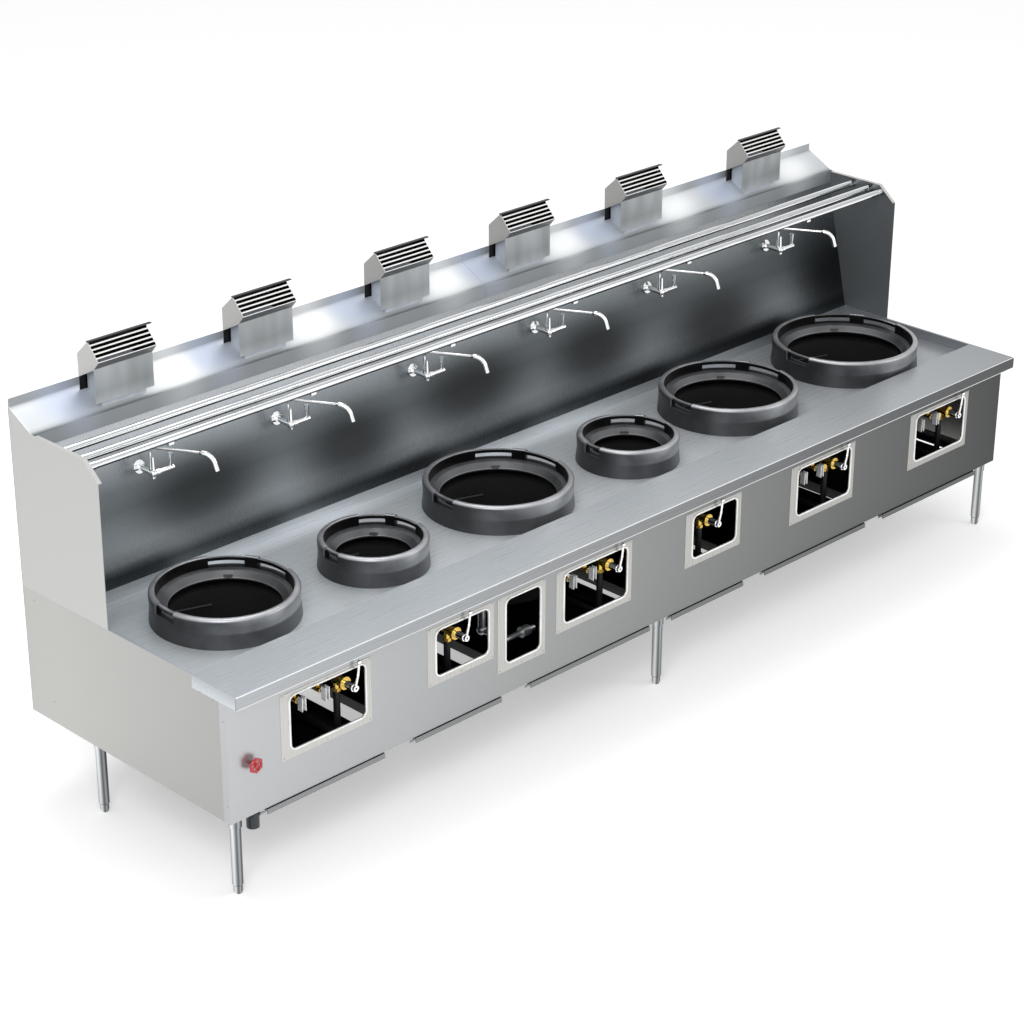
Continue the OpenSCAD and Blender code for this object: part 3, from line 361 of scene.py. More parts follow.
def banded(name, toward, stops, metallic=1.0, roughness=0.1, bump=0.00001, grain=260.0):
    """Polished metal with painted reflections: its tone runs through bands of painted highlight and
    shade as the surface turns towards one direction, as a tube's reflections of a studio do."""
    f = Finish(name, metallic, roughness)
    f.colour(f.ramp(f.facing(toward), stops))
    cast = f.group(GROUPS["cast"], Vector=f.place, Grain=grain, Roughness=roughness)
    f.join(cast.outputs["Roughness"], f.shader.inputs["Roughness"])
    f.bump(cast.outputs["Height"], bump, 0.6)
    return f


def splash_finish():
    """Brushed splash sheet: painted shade and reflection as tones over the height and the length, and a
    soft dark painted reflection at each ring, some way right of it and each at its own height."""
    f = Finish("splash steel", 0.8, 0.3)
    height = f.span(f.axis("Z"), height_at(DECK_Z), height_at(WALL_TOP))
    # painted shade and reflection: the sheet's tone over its height
    tone = f.ramp(height, [(0, "6e7478"), (0.055, "50565a"), (0.12, "868c90"), (0.2, "8d9397"),
                           (0.28, "7b8185"), (0.42, "5f6568"), (0.54, "656b6e"), (0.68, "8c9296"),
                           (0.84, "bcc1c5"), (0.92, "d0d4d8"), (1, "c0c5c9")])
    # painted shade: darker towards the right end, where the wing shades it
    length = f.ramp(f.span(f.axis("X"), -HALF, HALF),
                    [(0, "ffffff"), (0.25, "f4f4f4"), (0.5, "d8d8d8"), (0.8, "d0d0d0"), (1, "b4b4b4")])
    colour = f.mix(1.0, tone, length, "MULTIPLY")
    # painted reflections: a soft dark patch right of each ring
    reflection_places = ((260, 760), (332, 728), (275, 768), (322, 738), (399, 676), (460, 690))
    reflection_y, reflection_high = 950, 185
    for x, small, (shift, z) in zip(STATIONS, SMALL, reflection_places):
        reflection_wide = 340 if small else 390
        blot = f.group(GROUPS["blot"], Vector=f.place, Centre=tuple(metres((x + shift, reflection_y, z))),
                       Stretch=(1000 / reflection_wide, 3.0, 1000 / reflection_high), Depth=0.78)
        colour = f.mix(1.0, colour, blot.outputs["Level"], "MULTIPLY")
    grain = f.group(GROUPS["brushed"], Vector=f.place, Squeeze=(420, 3, 30), Depth=0.035, Roughness=0.3)
    f.skin(colour, grain)
    return f


def flashing_finish():
    """Bright flashing sheet: a painted dark reflection on the roll at its front, pale slope, painted shade
    on the grey lip, a painted cool reflection left of each flue plate and a painted glint right of it."""
    f = Finish("flashing steel", 0.3, 0.45)
    # painted reflection and shade: a dark roll at the front and a grey lip at the back
    colour = f.ramp(f.span(f.axis("Y"), depth_at(FLASH_FRONT), depth_at(FLASH_BACK)),
                    [(0, "a4a9ad"), (0.012, "62676a"), (0.05, "787d80"), (0.1, "adb1b4"),
                     (0.2, "c3c7ca"), (0.9, "ced2d6"), (0.985, "a9adb0"), (1, "9da1a4")])
    # painted reflection: a cool patch left of each flue plate; painted highlight: a glint right of it
    cool, glint = (-215, 150, 1.0, "bcc5d6"), (260, 190, 0.85, "fafcfd")
    patch_y, patch_z, patch_deep = 1110, 1200, 110
    for x in STATIONS:
        for shift, wide, depth, shade in (cool, glint):
            place = tuple(metres((x + shift, patch_y, patch_z)))
            blot = f.group(GROUPS["blot"], Vector=f.place, Centre=place,
                           Stretch=(1000 / wide, 1000 / patch_deep, 2.0), Depth=depth)
            colour = f.mix(f.math("SUBTRACT", 1.0, blot.outputs["Level"]), colour, srgb(shade))
    grain = f.group(GROUPS["brushed"], Vector=f.place, Squeeze=(3, 400, 400), Depth=0.02, Roughness=0.45)
    f.skin(colour, grain)
    return f


def deck_finish():
    """Satin deck sheet: pale on the ledge and painted darker as shade towards the right, painted paler
    in the sunk well against the shade of the rings, painted highlights along the nose's edges, and on
    the nose's face the painted shade of the front panel."""
    f = Finish("deck steel", 0.4, 0.3)
    along = f.span(f.axis("X"), -HALF, HALF)
    # painted shade: the deck darkens towards the right end
    top = f.ramp(along, [(0, "b8bec3"), (0.3, "bbc0c4"), (0.7, "b2b7bb"), (1, "8f9397")])
    # painted light: the sunk well is made paler where the rings shade it
    well = f.ramp(along, [(0, "cfd5d9"), (0.3, "d6dbdf"), (0.6, "cfd4d8"), (1, "9a9ea2")])
    top = f.mix(f.span(f.axis("Z"), height_at(DECK_Z) - 0.005, height_at(WELL_Z) + 0.005), top, well)
    nose = f.ramp(along, [(0, "b0b4b7"), (0.4, "8e9092"), (0.7, "606263"), (1, "3e4041")])
    colour = f.mix(f.span(f.axis("Y"), depth_at(3.5 - NOSE), depth_at(0.5 - NOSE)), top, nose)
    # painted highlight along the nose's rounded top edge
    colour = f.mix(f.span(f.facing((0, -0.6, 0.8)), 0.975, 0.99), colour, srgb("eef1f3"))
    nose_low = height_at(DECK_Z - NOSE_H)
    # painted highlight along the nose's bottom edge
    edge = f.span(f.axis("Z"), nose_low + 0.0035, nose_low + 0.0025)
    low = f.math("MULTIPLY", edge, f.span(f.facing((0, -1, 0)), 0.9, 0.95))
    colour = f.mix(low, colour, srgb("e6e9eb"))
    grain = f.group(GROUPS["brushed"], Vector=f.place, Squeeze=(3, 300, 300), Depth=0.018, Roughness=0.3)
    f.skin(colour, grain)
    return f


def hood_finish():
    """Flue sheet: warm pale sides, painted paler where they face left and painted darker as shade from
    the third flue on, a grey front plate with soft upright bands, pale slats as a painted highlight on
    faces turned up and forward, painted shade on faces that look down, a dark top lip, and painted
    shade near black wherever the inner attribute marks a face that looks at the same flue."""
    f = Finish("flue steel", 0.35, 0.38)
    # painted light: the sides are paler where they face left
    pale = f.ramp(f.facing((-1, 0, 0)), [(0, "c6c5c2"), (0.7, "b9b8b6"), (1, "cccbc8")])
    # painted shade: the sides get darker towards the right
    fade = f.ramp(f.span(f.axis("X"), *FLUE_FADE), [(0, "ffffff"), (1, "c8c8c8")])
    pale = f.mix(1.0, pale, fade, "MULTIPLY")
    plate = f.ramp(f.span(f.axis("Z"), FLUE_PLATE_LOW, FLUE_PLATE_TOP),
                   [(0, "c6cacc"), (0.4, "a6abad"), (1, "b2b6b8")])
    bands = f.group(GROUPS["clouds"], Vector=f.place, Squeeze=(14.0, 1.0, 3.0), Low=0.82, High=1.12)
    plate = f.mix(1.0, plate, bands.outputs["Level"], "MULTIPLY")
    front = f.facing((0, -1, 0))
    colour = f.mix(f.span(front, 0.97, 0.99), pale, plate)
    # painted highlight on faces turned up and forward, painted shade on faces that look down
    colour = f.mix(f.span(f.facing((0, -0.745, 0.667)), 0.98, 0.995), colour, srgb("f0f0ee"))
    colour = f.mix(f.span(f.facing((0, -0.3, -0.95)), 0.8, 0.9), colour, srgb("6b6f71"))
    colour = f.mix(f.span(f.axis("Z"), HOOD_TOP - 0.0045, HOOD_TOP - 0.004), colour, srgb("1c1d1e"))
    # painted shade: faces that look at the same flue are near black
    inner = f.add("ShaderNodeAttribute", attribute_name="inner").outputs["Fac"]
    colour = f.mix(inner, colour, srgb("0b0b0c"))
    grain = f.group(GROUPS["brushed"], Vector=f.place, Squeeze=(3, 300, 300), Depth=0.03, Roughness=0.38)
    f.skin(colour, grain)
    return f


def wing_finish():
    """Side splash sheet: pale outside, and painted shade in grey on the face that looks over the deck at
    the right.
    """
    f = Finish("wing steel", 0.6, 0.36)
    # painted shade: the inner face of the right wing is grey
    right = f.span(f.axis("X"), HALF - 0.01, HALF - 0.0095)
    inner = f.math("MULTIPLY", right, f.span(f.facing((-1, 0, 0)), 0.97, 0.99))
    grain = f.group(GROUPS["brushed"], Vector=f.place, Squeeze=(400, 400, 3), Depth=0.02, Roughness=0.36)
    colour = f.mix(inner, srgb("c6c6c4"), srgb("868b8e"))
    f.colour(f.mix(1.0, colour, grain.outputs["Tone"], "MULTIPLY"))
    f.join(grain.outputs["Roughness"], f.shader.inputs["Roughness"])
    return f


def ring_finish():
    """Machined cast ring: the reach attribute is the distance in from the outer wall, in decimetres.
    A satin band over a darker skirt outside, both with painted highlight and shade by facing, a rim
    with a painted highlight, slots and an inner wall painted near black as shade, and a grey seat
    with a painted highlight on its lip."""
    f = Finish("ring iron", 0.7, 0.36)
    reach = f.add("ShaderNodeAttribute", attribute_name="reach").outputs["Fac"]
    # painted highlight and shade: the skirt and the band lighten as they face the front
    front = f.facing((0.12, -0.93, 0.35))
    skirt = f.ramp(front, [(0, "2e2f31"), (0.5, "434446"), (0.8, "505153"), (1, "646567")])
    band = f.ramp(f.facing((0.38, -0.9, 0.2)),
                  [(0, "303133"), (0.45, "434446"), (0.7, "5c5d60"), (0.88, "8b8c8f"), (0.97, "a8a9ac"),
                   (1, "8f9093")])
    height = f.axis("Z")
    colour = f.mix(f.span(height, BAND_LOW, BAND_LOW + 0.008), skirt, band)
    # painted highlight on the rim
    rim = f.ramp(f.facing((-0.3, -0.55, 0.78)),
                 [(0, "3c3d3f"), (0.6, "707174"), (0.85, "9a9b9e"), (1, "b5b6b9")])
    colour = f.mix(f.span(height, RIM_LOW, RIM_LOW + 0.007), colour, rim)
    # painted shade: the slots are made dark
    slot = f.math("MULTIPLY", f.span(reach, 0.085, 0.105), f.math("LESS_THAN", height, SLOT_TOP))
    colour = f.mix(slot, colour, srgb("1d1d1e"))
    # painted shade: the inner wall is near black
    colour = f.mix(f.span(reach, 0.262, 0.283), colour, srgb("1a1a1b"))
    seat = f.math("MULTIPLY", f.span(reach, 0.30, 0.32), f.span(height, SEAT_LOW, SEAT_LOW + 0.004))
    colour = f.mix(seat, colour, srgb("606163"))
    # painted highlight: the seat's lip is paler
    lip = f.math("MULTIPLY", f.span(reach, 0.685, 0.695),
                 f.span(height, SEAT_LOW + 0.002, SEAT_LOW + 0.006))
    colour = f.mix(lip, colour, srgb("9a9b9d"))
    cast = f.group(GROUPS["cast"], Vector=f.place, Grain=420.0, Roughness=0.36)
    f.skin(colour, cast, 0.00012, 0.6)
    return f


def blot_group():
    """A soft dark blur: one minus a depth times a smooth fall with the stretched distance from a
    centre."""
    tree, source, out = new_group(
        "Soft blot",
        [("Vector", "NodeSocketVector", None), ("Centre", "NodeSocketVector", (0, 0, 0)),
         ("Stretch", "NodeSocketVector", (1, 1, 1)), ("Depth", "NodeSocketFloat", 0.5)],
        [("Level", "NodeSocketFloat", None)])
    new, link = tree.nodes.new, tree.links.new
    away, scale, length = (new("ShaderNodeVectorMath") for _ in range(3))
    away.operation, scale.operation, length.operation = "SUBTRACT", "MULTIPLY", "LENGTH"
    link(source.outputs["Vector"], away.inputs[0])
    link(source.outputs["Centre"], away.inputs[1])
    link(away.outputs[0], scale.inputs[0])
    link(source.outputs["Stretch"], scale.inputs[1])
    link(scale.outputs[0], length.inputs[0])
    fall = new("ShaderNodeMapRange")
    fall.interpolation_type = "SMOOTHERSTEP"
    fall.inputs["From Min"].default_value = 1.25
    fall.inputs["From Max"].default_value = 0.1
    link(length.outputs["Value"], fall.inputs["Value"])
    level = new("ShaderNodeMath")
    level.operation = "MULTIPLY"
    link(fall.outputs["Result"], level.inputs[0])
    link(source.outputs["Depth"], level.inputs[1])
    rest = new("ShaderNodeMath")
    rest.operation = "SUBTRACT"
    rest.inputs[0].default_value = 1
    link(level.outputs[0], rest.inputs[1])
    link(rest.outputs[0], out.inputs["Level"])
    return tree


def make_materials():
    GROUPS.update(brushed=brushed_group(), clouds=cloud_group(), cast=cast_group(), blot=blot_group())
    # painted shade: the front panel runs from pale at the left to dark at the right
    front = [(0, "b8b9bb"), (0.18, "aaacad"), (0.5, "878988"), (0.8, "5f6160"), (1, "3c3d3d")]
    across = (0, 0.546, 0.838)
    make = {
        "side": brushed("side steel", [(0, "bdbdba"), (1, "adadab")], "Y", (0.4, -0.55), (400, 3, 400),
                        0.02, 0.38, 0.7),
        "wing": wing_finish(),
        "front": brushed("front steel", front, depth=0.05),
        # painted shade: the window plates darken towards the right
        "plate": brushed("window plate steel", [(0, "c9c8c4"), (0.5, "bab9b5"), (1, "a5a4a0")],
                         squeeze=(400, 3, 3), depth=0.015, roughness=0.3, metallic=0.5),
        # painted highlight: the rolled bead is made near white
        "bead": plain("bead steel", "f2f2f0", 0.4, 0.18, bump=0.00001),
        "deck": deck_finish(),
        "splash": splash_finish(),
        "flashing": flashing_finish(),
        # painted shade: the back panel's inner face is near black
        "back": brushed("back steel", [(0, "a9abac"), (1, "a2a4a5")], squeeze=(400, 400, 3), depth=0.04,
                        inside=("Y", 0.6135, -1)),
        # painted shade: the trays darken towards the right and are near black inside the body
        "tray": brushed("tray steel", [(0, "8f9192"), (1, "5c5e5f")], squeeze=(3, 400, 400), depth=0.05,
                        inside=("Y", -0.552, 1)),
        "hood": hood_finish(),
        "drain": brushed("drain steel", [(0, "b9bcbe"), (1, "b9bcbe")], depth=0.03),
        # painted highlights and reflections by facing on chrome, rails and legs
        "chrome": banded("plated chrome", (-0.35, -0.35, 0.87),
                         [(0, "1c1d1e"), (0.3, "303234"), (0.42, "9a9da0"), (0.6, "f0f1f2"),
                          (1, "fafafa")]),
        # painted shade: the dark band at the rail's underside
        "rail": banded("rail chrome", across,
                       [(0, "191a1b"), (0.08, "2a2b2c"), (0.13, "f2f3f3"), (0.3, "f0f1f1"),
                        (0.45, "b6babc"), (0.7, "c4c7c9"), (0.9, "f4f5f5"), (0.97, "6e7173")],
                       roughness=0.16),
        "leg": banded("leg chrome", (0.705, -0.709, 0),
                      [(0, "55585a"), (0.12, "c3c6c8"), (0.3, "e4e6e7"), (0.5, "8e9193"), (0.62, "595c5e"),
                       (0.8, "a9acae"), (0.95, "4b4d4f")], roughness=0.2),
        "ring": ring_finish(),
        # painted shade: the combustion chambers are made near black
        "chamber": plain("chamber steel painted dark", "0e0e0f", 0.1, 0.8),
        "burner": plain("burner iron", "1b1c1e", 0.4, 0.55),
        "pipe": plain("gas pipe", "3c4043", 0.5, 0.4),
        "brass": plain("brass", "d9b65a", 1.0, 0.26, 300.0, 0.00006),
        "frame": plain("frame paint", "161718", 0.0, 0.5),
        "collar": plain("collar steel", "c3c9d2", 0.2, 0.5, bump=0.00001),
        "blade": plain("pilot blade", "eceeee", 0.5, 0.2, bump=0.00001),
        "wheel": plain("red enamel", "b50f1b", 0.0, 0.3, 120.0, 0.00005, coat=0.8),
        "screw": plain("screw steel", "8d8f90", 1.0, 0.3, bump=0.00002),
        # painted shadow for the slits in the flashing's lip
        "shadow": plain("painted slit shadow", "101112", 0.0, 0.8),
    }
    MATERIALS.update({key: f.material for key, f in make.items()})


NODE_FINISH = {
    "side_panel_left": "side", "side_panel_right": "side", "splash_wing_left": "wing",
    "splash_wing_right": "wing", "front_panel": "front", "window_frames": "plate", "deck": "deck",
    "splash_panel": "splash", "rear_flashing": "flashing", "rail_tubes": "rail", "back_panel": "back",
    "base_frame": "frame", "legs": "leg", "flue_boxes": "hood", "flue_collars": "collar",
    "gas_manifold": "pipe", "gas_valves": "brass", "burners": "burner",
    "combustion_chambers": "chamber", "faucet_bodies": "chrome", "drain": "drain",
    "main_gas_handwheel": "wheel",
}
for number in range(1, 7):
    NODE_FINISH.update({f"wok_ring_{number}": "ring", f"faucet_spout_{number}": "chrome",
                        f"faucet_handle_{number}": "chrome", f"gas_lever_{number}": "chrome",
                        f"drip_tray_{number}": "tray"})
for number in range(1, 9):
    NODE_FINISH[f"pilot_handle_{number}"] = "blade"


# Surfaces


def grid_faces(rows, columns, wrap_rows=False, wrap_columns=False):
    """Index rows of the quads between the points of a grid, which may close on itself."""
    r = np.arange(rows if wrap_rows else rows - 1)[:, None]
    c = np.arange(columns if wrap_columns else columns - 1)[None, :]
    r1, c1 = (r + 1) % rows, (c + 1) % columns
    return np.stack([r * columns + c, r * columns + c1, r1 * columns + c1, r1 * columns + c],
                    -1).reshape(-1, 4)


class Skin:
    """Collects the parts of one piece: points in body millimetres, and faces as index rows."""

    def __init__(self):
        self.points, self.faces, self.count = [], [], 0

    def add(self, points, faces):
        points = np.asarray(points, float).reshape(-1, 3)
        self.faces += (np.asarray(faces) + self.count).tolist()
        self.points.append(points)
        self.count += len(points)

    def tube(self, rows, closed=False):
        """Skin over a row of rings of points; the ends get caps unless the rows close on themselves."""
        rows = np.asarray(rows, float)
        n, m = rows.shape[:2]
        self.add(rows, grid_faces(n, m, closed, True))
        if not closed:
            self.add(rows[0], [list(range(m))[::-1]])
            self.add(rows[-1], [list(range(m))])

    def sweep(self, path, profile, across, up, closed=False):
        """A profile of (across, up) offsets carried along a path, with unit directions at each point."""
        rows = (path[:, None] + profile[None, :, 0, None] * across[:, None]
                + profile[None, :, 1, None] * up[:, None])
        self.tube(rows, closed)

    def turned(self, profile, origin, axis, steps=32, side=(0, 0, 1)):
        """A surface turned about an axis: profile rows of (distance along, radius)."""
        axis = np.array(axis, float) / np.linalg.norm(axis)
        u = np.cross(axis, side)
        if np.linalg.norm(u) < 0.1:
            u = np.cross(axis, (1, 0, 0))
        u /= np.linalg.norm(u)
        v = np.cross(axis, u)
        t = np.arange(steps) * 2 * pi / steps
        circle = np.cos(t)[:, None] * u + np.sin(t)[:, None] * v
        profile = np.asarray(profile, float)
        rows = (np.asarray(origin, float) + profile[:, 0, None, None] * axis
                + profile[:, 1, None, None] * circle[None])
        self.tube(rows)

    def block(self, low, high, edge=0.0):
        """A box with its upright and level edges cut by a small chamfer."""
        low, high = np.asarray(low, float), np.asarray(high, float)
        e = min(edge, *(0.45 * (high - low)))
        z = [(low[2], e), (low[2] + e, 0), (high[2] - e, 0), (high[2], e)]
        rows = [[(low[0] + a + e, low[1] + a, h), (high[0] - a - e, low[1] + a, h),
                 (high[0] - a, low[1] + a + e, h), (high[0] - a, high[1] - a - e, h),
                 (high[0] - a - e, high[1] - a, h), (low[0] + a + e, high[1] - a, h),
                 (low[0] + a, high[1] - a - e, h), (low[0] + a, low[1] + a + e, h)] for h, a in z]
        self.tube(rows)

    def piece(self, name, finish, slot, body=ROOT, stands_for=(), angle=32):
        mesh = bpy.data.meshes.new(name)
        mesh.from_pydata(metres(np.concatenate(self.points)).tolist(), [], self.faces)
        bm = bmesh.new()
        bm.from_mesh(mesh)
        bmesh.ops.remove_doubles(bm, verts=bm.verts, dist=1e-6)
        bmesh.ops.recalc_face_normals(bm, faces=bm.faces)
        bm.to_mesh(mesh)
        bm.free()
        return place_piece(name, mesh, finish, body, stands_for, angle)


def place_piece(name, mesh, finish, body, stands_for=(), angle=32):
    """Smooths a mesh up to an angle, gives it its finish and its body, and lets it stand for nodes."""
    mesh.shade_smooth()
    mesh.set_sharp_from_angle(angle=radians(angle))
    mesh.materials.clear()
    mesh.materials.append(MATERIALS[finish])
    piece = bpy.data.objects.new(name, mesh)
    bpy.context.collection.objects.link(piece)
    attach(piece, body)
    if stands_for:
        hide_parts(*stands_for)
    return piece


def dressed(node, finish, body=ROOT, width=0.0, segments=2, angle=32):
    """A merged copy of a CAD node with its edges rounded, standing for it."""
    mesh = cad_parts[node].data.copy()
    if "custom_normal" in mesh.attributes:
        mesh.attributes.remove(mesh.attributes["custom_normal"])
    bm = bmesh.new()
    bm.from_mesh(mesh)
    bmesh.ops.remove_doubles(bm, verts=bm.verts, dist=2e-6)
    bmesh.ops.dissolve_limit(bm, angle_limit=radians(0.6), verts=bm.verts, edges=bm.edges)
    bm.to_mesh(mesh)
    bm.free()
    piece = place_piece(f"{node}_finish", mesh, finish, body, (node,), angle)
    if width:
        bevel = piece.modifiers.new("rounded edges", "BEVEL")
        bevel.width, bevel.segments, bevel.limit_method = width / 1000, segments, "ANGLE"
        bevel.angle_limit = radians(angle)
        bevel.use_clamp_overlap = True
        bevel.harden_normals = True
    return piece


# Settings, operators and panel


class WokRangeSettings(bpy.types.PropertyGroup):
    bead_radius: FloatProperty(
        name="Bead radius", description="Radius of the rolled bead round each window, in millimetres",
        default=4.6, min=2, max=6)
    screw_radius: FloatProperty(
        name="Screw radius", description="Radius of the small trim screws, in millimetres",
        default=3.2, min=1, max=6)
    lamp_level: FloatProperty(name="Lamp level", description="Scales all the studio lamps", default=1.0)
    floor_colour: FloatVectorProperty(name="Floor colour", description="Colour of the plain floor",
                                      subtype="COLOR", default=(0.82, 0.82, 0.82), min=0, max=1)


def settings():
    return bpy.context.scene.wok_range


class RANGE_OT_finishes(bpy.types.Operator):
    """Makes the finishes and gives each CAD node its own"""
    bl_idname = "range.finishes"
    bl_label = "Finishes"

    def execute(self, context):
        make_materials()
        for node, key in NODE_FINISH.items():
            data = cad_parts[node].data
            data.materials.clear()
            data.materials.append(MATERIALS[key])
        return {"FINISHED"}


def rounded_loop(x, z, w, h, r, grow=0.0, corner_angles=None, steps=6):
    """Points of a rectangle with round corners, anticlockwise seen from the front, moved out by grow:
    each corner is its arc's centre plus the grown radius at angles from corner_angles or even steps."""
    loop, outward = [], []
    right, top = x + w - r, z + h - r
    corners = [(right, z + r, -90), (right, top, 0), (x + r, top, 90), (x + r, z + r, 180)]
    for k, (cx, cz, start) in enumerate(corners):
        angles = np.linspace(0, 90, 2 * steps + 1) if corner_angles is None else corner_angles[k]
        a = np.radians(start + np.asarray(angles))
        direction = np.stack([np.cos(a), np.sin(a)], -1)
        loop.append(np.array([cx, cz]) + (r + grow) * direction)
        outward.append(direction)
    return np.concatenate(loop), np.concatenate(outward)


OPENINGS = [(WINDOWS[i] - (265 if SMALL[i] else 350) / 2, 265 if SMALL[i] else 350,
             185 if SMALL[i] else 210) for i in range(6)] + [(DRAIN_X - 90, 180, 265)]
OPENING_TOP, OPENING_R = 398, 22
PLATE_LEFT, PLATE_RIGHT, PLATE_UP, PLATE_DOWN, PLATE_T = 46, 31, 20, 34, 1.5


class RANGE_OT_window_plates(bpy.types.Operator):
    """Makes the plate and the rolled bead round each front opening. The plate's skin runs round the
    opening in loops; the bead is a circle carried along the opening's edge."""
    bl_idname = "range.window_plates"
    bl_label = "Window plates"

    def execute(self, context):
        plates, beads = Skin(), Skin()
        bead = settings().bead_radius
        around = np.arange(14) * 2 * pi / 14
        circle = bead * np.stack([np.cos(around), np.sin(around)], -1)
        for x, w, h in OPENINGS:
            z = OPENING_TOP - h
            margins = [(PLATE_RIGHT, PLATE_DOWN), (PLATE_RIGHT, PLATE_UP), (PLATE_LEFT, PLATE_UP),
                       (PLATE_LEFT, PLATE_DOWN)]
            angles, outer = [], []
            corners = [(x + w - OPENING_R, z + OPENING_R), (x + w - OPENING_R, z + h - OPENING_R),
                       (x + OPENING_R, z + h - OPENING_R), (x + OPENING_R, z + OPENING_R)]
            for k, ((mx, mz), start) in enumerate(zip(margins, (-90, 0, 90, 180))):
                dx, dz = mx + OPENING_R, mz + OPENING_R
                middle = np.degrees(atan2(dx, dz) if k % 2 == 0 else atan2(dz, dx))
                a = np.concatenate([np.linspace(0, middle, 6), np.linspace(middle, 90, 6)[1:]])
                angles.append(a)
                t = np.radians(start + a)
                c, s = np.cos(t), np.sin(t)
                reach = np.minimum(dx / np.maximum(np.abs(c), 1e-6), dz / np.maximum(np.abs(s), 1e-6))
                outer.append(np.array(corners[k]) + reach[:, None] * np.stack([c, s], -1))
            inner, outward = rounded_loop(x, z, w, h, OPENING_R, 0.5, angles)
            outer = np.concatenate(outer)
            centre = np.array([x + w / 2, z + h / 2])
            cut = outer - 0.7 * np.sign(outer - centre)
            n = len(inner)
            rows = [np.column_stack([loop[:, 0], np.full(n, y), loop[:, 1]]) for loop, y in
                    ((inner, -PLATE_T), (cut, -PLATE_T), (outer, -PLATE_T + 0.7), (outer, 0), (inner, 0))]
            plates.tube(rows, closed=True)
            loop, outward = rounded_loop(x, z, w, h, OPENING_R, bead)
            path = np.column_stack([loop[:, 0], np.full(len(loop), -PLATE_T), loop[:, 1]])
            across = np.column_stack([outward[:, 0], np.zeros(len(loop)), outward[:, 1]])
            beads.sweep(path, circle, across, np.tile([0.0, -1.0, 0.0], (len(loop), 1)), closed=True)
        plate = plates.piece("window_plates", "plate", "frame_steel")
        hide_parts("window_frames")
        beads.piece("window_beads", "bead", "frame_steel", angle=60)
        return {"FINISHED"}


def dome(skin, place, axis, radius, height=1.2):
    """A round screw head: a quarter ellipse turned about its axis."""
    t = np.linspace(0, pi / 2, 5)
    profile = np.column_stack([height * np.sin(t), np.maximum(radius * np.cos(t), 0.05)])
    skin.turned(np.concatenate([[(-0.3, radius)], profile]), place, axis, 14)


SIDE_SCREWS = ((135, 475), (64, 472), (17, 404), (14, 68), (1100, 480), (1020, 90))


class RANGE_OT_screws(bpy.types.Operator):
    """Sets the small dome screws of the window plates and the side panels"""
    bl_idname = "range.screws"
    bl_label = "Trim screws"

    def execute(self, context):
        r = settings().screw_radius
        screws = Skin()
        for x, w, h in OPENINGS:
            z = OPENING_TOP - h
            left, right = x - PLATE_LEFT + 11, x + w + PLATE_RIGHT - 9
            low, high = z - PLATE_DOWN + 10, OPENING_TOP + PLATE_UP - 7
            for px in (left, (left + right) / 2, right):
                for pz in (low, high):
                    dome(screws, (px, -PLATE_T, pz), (0, -1, 0), r * 0.8)
        for y, z in SIDE_SCREWS:
            for x, side in ((0, -1), (LENGTH, 1)):
                dome(screws, (x, y, z), (side, 0, 0), r, 0.8)
        screws.piece("trim_screws", "screw", "front_steel", angle=60)
        return {"FINISHED"}


class RANGE_OT_hoods(bpy.types.Operator):
    """Marks the faces of the flue boxes that look at the same box, for their painted shade, and sets a
    dark block in the flashing's lip left of each as a painted slit shadow"""
    bl_idname = "range.hoods"
    bl_label = "Flue boxes"

    def execute(self, context):
        hood = dressed("flue_boxes", "hood")
        mesh = hood.data
        corners = [v.co[:] for v in mesh.vertices]
        tree = BVHTree.FromPolygons(corners, [f.vertices[:] for f in mesh.polygons])
        # marks the faces that get painted shade in the flue finish
        inner = mesh.attributes.new("inner", "FLOAT", "FACE")
        for f, mark in zip(mesh.polygons, inner.data):
            hit = tree.ray_cast(f.center + 0.0004 * f.normal, f.normal, 0.4)[3]
            mark.value = float(hit is not None)
        # painted shadow: a thin dark block in the lip where a slit's shadow falls
        slits = Skin()
        for left in STATIONS - SLIT_OUT:
            slits.block((left, DEPTH - SHEET - 0.6, FLASH_LIP_LOW),
                        (left + SLIT_W, DEPTH - SHEET, FLASH_LIP_TOP), 0.2)
        slits.piece("flashing_slits", "shadow", "flashing_steel")
        return {"FINISHED"}


class RANGE_OT_rings(bpy.types.Operator):
    """Rounds the edges of the cast rings and marks how far in from its outer wall each point lies"""
    bl_idname = "range.rings"
    bl_label = "Wok rings"

    def execute(self, context):
        for i in range(6):
            ring = dressed(f"wok_ring_{i + 1}", "ring", width=1.8, segments=2, angle=28)
            place = np.empty(3 * len(ring.data.vertices))
            ring.data.vertices.foreach_get("co", place)
            centre = metres((STATIONS[i], RING_Y[i], 0))
            away = np.hypot(*(place.reshape(-1, 3)[:, :2] - centre[:2]).T)
            reach = ring.data.attributes.new("reach", "FLOAT", "POINT")
            reach.data.foreach_set("value", RING_R[i] / 100 - 10 * away)
        return {"FINISHED"}


CAMERA_PLACE = (-4769.0, -6117.9, 4741.5)
CAMERA_TURN, CAMERA_DOWN, CAMERA_ROLL = radians(45.146), radians(24.692), radians(0.208)
CAMERA_LENS = 90.74
# Name, place, side and power of each square lamp
LAMPS = (("key", (-6.5, -4.5, 6.5), 3.5, 260), ("fill", (5.5, -7.0, 4.0), 4.0, 110),
         ("top", (0.5, 2.0, 7.5), 4.0, 160))
LAMP_AIM = Vector((0, 0, 0.8))
FLOOR_HALF, FLOOR_POINTS, FLOOR_GLOW = 30, 9, 0.4
SKY_ON_SURFACES = 0.62


